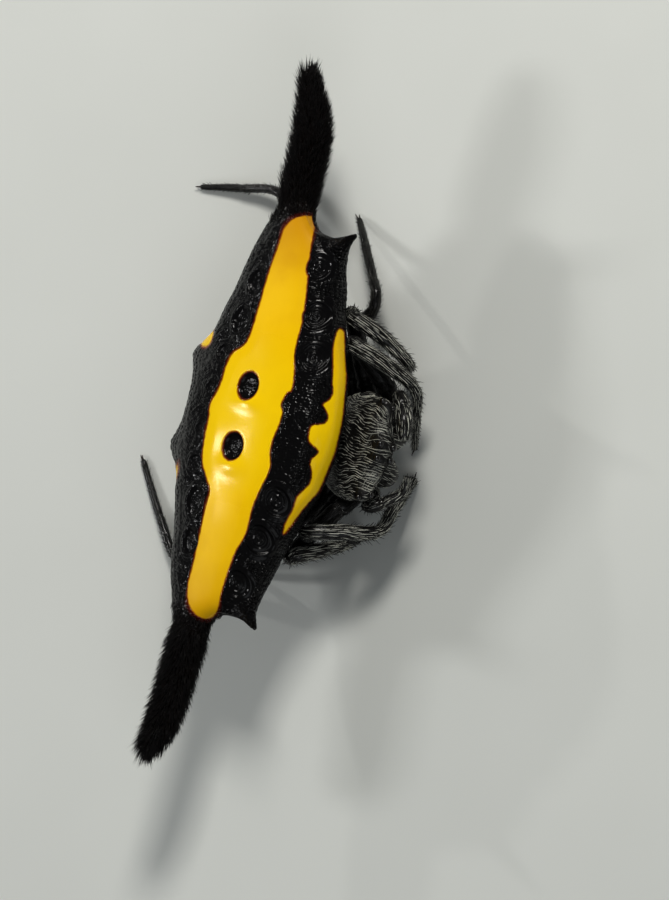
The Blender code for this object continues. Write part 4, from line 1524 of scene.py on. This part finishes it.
# %% Face and fringe
FACE_STRANDS = 900
FACE_FRONT = 4.42
FACE_DEPTH = 0.60
FACE_CROWDING = 1.4
FACE_TURN = 0.7
FACE_END = 4.455
FRINGE_STRANDS = 420
FRINGE_START = 0.25
BEHIND = 0.3
BEHIND_Z = -1.66


def behind_face(a, turn):
    """Points of the middle line behind each point of the face."""
    return np.stack([0 * a, a - BEHIND, np.full(a.shape, BEHIND_Z)], -1)


def strewn_hair(name, rng, a, reach, turn, drop, lift, width, seed, share):
    """Strands from a to a + reach and from turn to turn + drop, some of them bright."""
    t = np.linspace(0, 1, 6)[None, :]
    places = a[:, None] + reach[:, None] * t, turn[:, None] + drop[:, None] * t
    bright = np.where(rng.random(len(a)) < share, 0.6, 0.02)
    lifts, widths = rng.uniform(*lift, len(a)), rng.uniform(*width, len(a))
    combed(name, prosoma_surface, places, lifts, widths, seed, bright, behind_face, "skin")


rng = np.random.default_rng(51)
a = FACE_FRONT - FACE_DEPTH * rng.random(FACE_STRANDS) ** FACE_CROWDING
turn = rng.uniform(-FACE_TURN, pi + FACE_TURN, FACE_STRANDS)
reach = np.minimum(rng.uniform(0.12, 0.22, FACE_STRANDS), FACE_END - a)
astray = rng.normal(0, 0.16, FACE_STRANDS)
strewn_hair("hair_face", rng, a, reach, turn, astray, (0.01, 0.03), (0.008, 0.011), 52, 0.35)

rng = np.random.default_rng(53)
a = rng.uniform(1.4, 4.2, FRINGE_STRANDS)
right = rng.random(FRINGE_STRANDS) < 0.5
reach = rng.uniform(0.05, 0.20, FRINGE_STRANDS)
drop = rng.uniform(0.45, 0.75, FRINGE_STRANDS) * np.where(right, 1, -1)
turn = np.where(right, pi - FRINGE_START, FRINGE_START)
strewn_hair("hair_fringe", rng, a, reach, turn, drop, (0.05, 0.13), (0.009, 0.013), 54, 0.4)

# %% [markdown]
# ## Hair of legs, palps and jaws
# The front legs and the palps carry the same silver hair on their upper sides, in long thin
# lines that run down the leg. On the legs it begins at the knee: the femora, which lie under the
# shell's front edge, are kept dark as painted shade. All legs have black bristles as well, which
# stand off at about 40 degrees and lean towards the foot, and are thinner where the leg is.

# %% Hair of the limbs
HAIR_STEP = 0.17
HAIR_GIRTH = 0.25
HAIR_END = 0.99
WINDING = 0.30
WINDING_PER_MM = 1.3
FLATNESS = 0.45
UPPER_SIDE = (-0.5, 0.2)
PAINTED_SHADE_FADE = 0.06
SILVER_SHARE = 0.66
PALE = {"leg_1": 0.90, "leg_2": 0.90, "leg_3": 0.10, "leg_4": 0.05}


def limb_hair(name, limb, pale, seed, from_s=0.04, to_s=0.97, pitch=0.074, length=0.66, painted_shade_end=-1.0):
    """Silver strands in rows along the limb, which wind a little; the pale ones lie on its upper
    side, beyond a given share of its length. Short of that share every strand is kept dark, as
    painted shade."""
    rng = np.random.default_rng(seed)
    rows = max(8, int(2 * pi * HAIR_GIRTH / pitch))
    steps = np.arange(from_s, to_s, HAIR_STEP / limb.length)
    row, step = np.meshgrid(2 * pi * np.arange(rows) / rows, steps, indexing="ij")
    s = (step + rng.uniform(-0.07, 0.07, step.shape) / limb.length).ravel()
    reach = length * rng.uniform(0.7, 1.2, s.shape) / limb.length
    t = np.linspace(0, 1, 7)[None, :]
    at = s[:, None] + (np.minimum(s + reach, HAIR_END) - s)[:, None] * t
    drift = rng.normal(0.0, 0.07, (len(s), 1)) * (at - s[:, None]) / reach[:, None]
    turn = row.ravel()[:, None] + WINDING * np.sin(at * limb.length * WINDING_PER_MM) + drift
    turn = turn + rng.normal(0, 0.025, (len(s), 1))
    bright = pale * np.where(rng.random(s.shape) < SILVER_SHARE, 1.3, 0.02)
    out = unit(limb.surface(s, turn[:, 0]) - limb.axis(s))
    # Painted shade: strands short of the given share, which is the knee on the legs, are kept dark.
    bright = bright * eased(out @ TO_CAMERA, *UPPER_SIDE) * eased(s, painted_shade_end - PAINTED_SHADE_FADE, painted_shade_end)
    lift = rng.uniform(0.01, 0.04, s.shape)
    half_width = rng.uniform(0.0080, 0.0120, s.shape) * np.clip(limb.radius(s) / HAIR_GIRTH, 0.35, 1)
    places, centre = (at, turn), lambda u, v: limb.axis(u)
    combed(name, limb.surface, places, lift, half_width, seed + 1, bright, centre, "leg", FLATNESS)


def limb_bristles(name, limb, per_mm, length, seed):
    """Black bristles all round a limb, leaning towards its tip."""
    rng = np.random.default_rng(seed)
    count = int(per_mm * limb.length)
    s = 0.12 + 0.87 * (np.arange(count) + 0.5) / count
    turn = (np.arange(count) * GOLDEN) % (2 * pi)
    root = limb.surface(s, turn)
    along = unit(limb.sample(limb.tangent, s))
    normal = square_to(root - limb.axis(s), along)
    lean = np.radians(BRISTLE_LEAN_DEG + 2 + rng.normal(0, 9, count))[:, None]
    way = unit(np.sin(lean) * normal + np.cos(lean) * along + rng.normal(0, 0.10, (count, 3)))
    size = length * rng.uniform(0.55, 1.15, count) * np.clip(limb.radius(s) / 0.2, 0.6, 1)
    paths = bristle_lines(root, normal, along, way, size, (0, 0.4, 0.75, 1.0), 0.18)
    keep = height_over_floor(paths).min(axis=1) > FLOOR_GAP / 2
    flat = np.cross(normal, along)[keep, None, :]
    widths = 0.011 * np.array([1.0, 0.85, 0.55, 0.0]) * rng.uniform(0.7, 1.2, (keep.sum(), 1))
    tint = rng.uniform(0, 0.6, keep.sum())
    made = strands(name, paths[keep], widths, flat, 0.8, on_map(s, turn)[keep], tint)
    dress(made, bristle, "leg")


for number, (name, limb) in enumerate(legs.items()):
    # The femora are kept dark up to the knee, as painted shade.
    limb_hair("hair_" + name, limb, PALE[name[:5]], 100 + 2 * number, painted_shade_end=limb.key_at[KNEE])
    limb_bristles("bristles_" + name, limb, 60, 0.21, 200 + number)
for number, (name, limb) in enumerate(palps.items()):
    limb_hair("hair_" + name, limb, 1.0, 130 + 2 * number, pitch=0.066, length=0.38)
    limb_bristles("bristles_" + name, limb, 80, 0.18, 230 + number)
for number, (name, limb) in enumerate(jaws.items()):
    limb_hair("hair_chelicera_" + name, limb, 0.85, 140 + 2 * number, 0.04, 0.9, 0.055, 0.36)

# %% [markdown]
# ## Claws
# Each foot ends in two curved claws, which rest on the floor and keep the tip of the leg just
# off it. A claw is a limb of its own, with four keys along its hook.

# %% Claws
CLAW_RADII = (0.024, 0.020, 0.013, 0.005)
CLAW_BLACK = (0.010, 0.006, 0.005)
CLAW_BROWN = (0.035, 0.018, 0.010)
CLAW_GAP = 0.004
# How far the keys of a claw lie forth and down from its root, in mm.
HOOK = ((0, 0), (0.08, 0), (0.14, 0.02), (0.17, 0.06))
CLAW_SET_OUT = 0.035
CLAW_SET_BACK = 0.03
CLAW_SPLAY = 0.25
DOWN = np.array([0, -np.sin(PITCH), -np.cos(PITCH)])


def claw(limb, sign):
    """A hook from the tip of a limb, on one side of it, that bends down to the floor."""
    forward, side_way = limb.tangent[-1], limb.side[-1] * sign
    root = limb.curve[-1, :3] + side_way * CLAW_SET_OUT - forward * CLAW_SET_BACK
    out = square_to(forward, DOWN) + side_way * CLAW_SPLAY
    keys = np.array([root + out * forth + DOWN * drop for forth, drop in HOOK])
    lowest = (height_over_floor(keys) - CLAW_RADII).min() - CLAW_GAP
    keys -= DOWN * max(0.0, -lowest)
    return Limb(np.column_stack([keys, CLAW_RADII])).rings(12, 8)


horn = Finish("claw_horn", Coat_Weight=0.3)
horn.colour(horn.blend(horn.noise(0.08), CLAW_BLACK, CLAW_BROWN))
horn.roughness(0.18 + 0.1 * horn.noise(0.1))
for name, limb in legs.items():
    for number, sign in enumerate((-1, 1)):
        dress(tube_piece(f"{name}_claw_{number}", claw(limb, sign)), horn, "leg")

# %% [markdown]
# ## Spinnerets
# Under the shell, on a low mound that is part of its skin, six spinnerets stand together as a
# short cone. Cones alone would look like pegs, so each is a tapered limb with one joint.

# %% Spinnerets
# Each pair's left one: the root, the tip and the radius of the root.
SPINNERETS = (
    ((0.20, -0.02, -1.98), (0.11, -0.05, -2.40), 0.17),
    ((0.24, -0.26, -1.98), (0.14, -0.28, -2.44), 0.15),
    ((0.10, -0.44, -1.98), (0.06, -0.38, -2.34), 0.12),
)


def spinneret(root, tip, wide, sign):
    """A tapered tube from root to tip that bows outwards by 0.03 mm at its middle."""
    ends = np.array([root, tip]) * (sign, 1, 1)
    middle = ends.mean(0) + (sign * 0.03, 0, 0)
    keys = [(*ends[0], wide), (*middle, wide * 0.9), (*ends[1], wide * 0.45)]
    return Limb(keys, (1,), neck=0.10).rings(24, 16)


for pair, row in enumerate(SPINNERETS):
    for number, sign in enumerate((1, -1)):
        piece = tube_piece(f"spinneret_{2 * pair + number}", spinneret(*row, sign))
        dress(piece, skin, "skin", *(["spinnerets"] if pair + number == 0 else []))

# %% [markdown]
# ## Floor and light
# A plain pale floor and soft studio lights. The main light is a soft box on the animal's left
# side, which is the top of the picture, so each grain and pit shows a small glint on the side
# that faces it. A broad weak light fills the shadows, and two small ones, from where the shell
# mirrors them to the camera, put the glints on the yellow and the scales.

# %% Floor and lights
FLOOR_SIZE = 0.8
FLOOR_GREY = (0.66, 0.67, 0.64)
FLOOR_PALE = (0.70, 0.71, 0.68)
SKY = (0.80, 0.84, 0.86)
SKY_STRENGTH = 0.20
# Each light: its name, its direction, distance and size in mm, power in watts, colour.
LIGHTS = (
    ("key_light", (0.85, -0.15, 0.95), 130, 32, 0.104, (1.0, 0.98, 0.94)),
    ("fill_light", (-0.7, -0.8, 0.9), 160, 110, 0.058, (0.94, 0.97, 1.0)),
    ("glint_light", (-0.133, 0.807, 0.576), 130, 18, 0.045, (1.0, 1.0, 1.0)),
    ("back_light", (0.45, 0.80, 0.42), 140, 5, 0.024, (1.0, 0.99, 0.97)),
)

floor_mesh = bpy.data.meshes.new("floor")
edge = FLOOR_SIZE / 2
floor_corners = [(-edge, -edge, 0), (edge, -edge, 0), (edge, edge, 0), (-edge, edge, 0)]
floor_mesh.from_pydata(floor_corners, [], [(0, 1, 2, 3)])
floor = bpy.data.objects.new("floor", floor_mesh)
bpy.context.scene.collection.objects.link(floor)
paper = Finish("floor_paper", Roughness=0.9)
paper.colour(paper.blend(paper.noise(6.0), FLOOR_GREY, FLOOR_PALE))
floor.data.materials.append(paper.material)


def soft_box(name, towards, distance, size, power, colour):
    """A square area light at a distance along a direction, facing the animal."""
    lamp = bpy.data.lights.new(name, "AREA")
    lamp.size = size * MM
    lamp.energy = power
    lamp.color = colour
    obj = bpy.data.objects.new(name, lamp)
    bpy.context.scene.collection.objects.link(obj)
    obj.location = unit(np.array(towards, float)) * distance * MM
    obj.rotation_euler = obj.location.to_track_quat("Z", "Y").to_euler()


for light in LIGHTS:
    soft_box(*light)
world = bpy.data.worlds.new("studio")
world.use_nodes = True
background = world.node_tree.nodes["Background"].inputs
background["Color"].default_value = (*SKY, 1.0)
background["Strength"].default_value = SKY_STRENGTH
bpy.context.scene.world = world
print("lights:", len(LIGHTS))
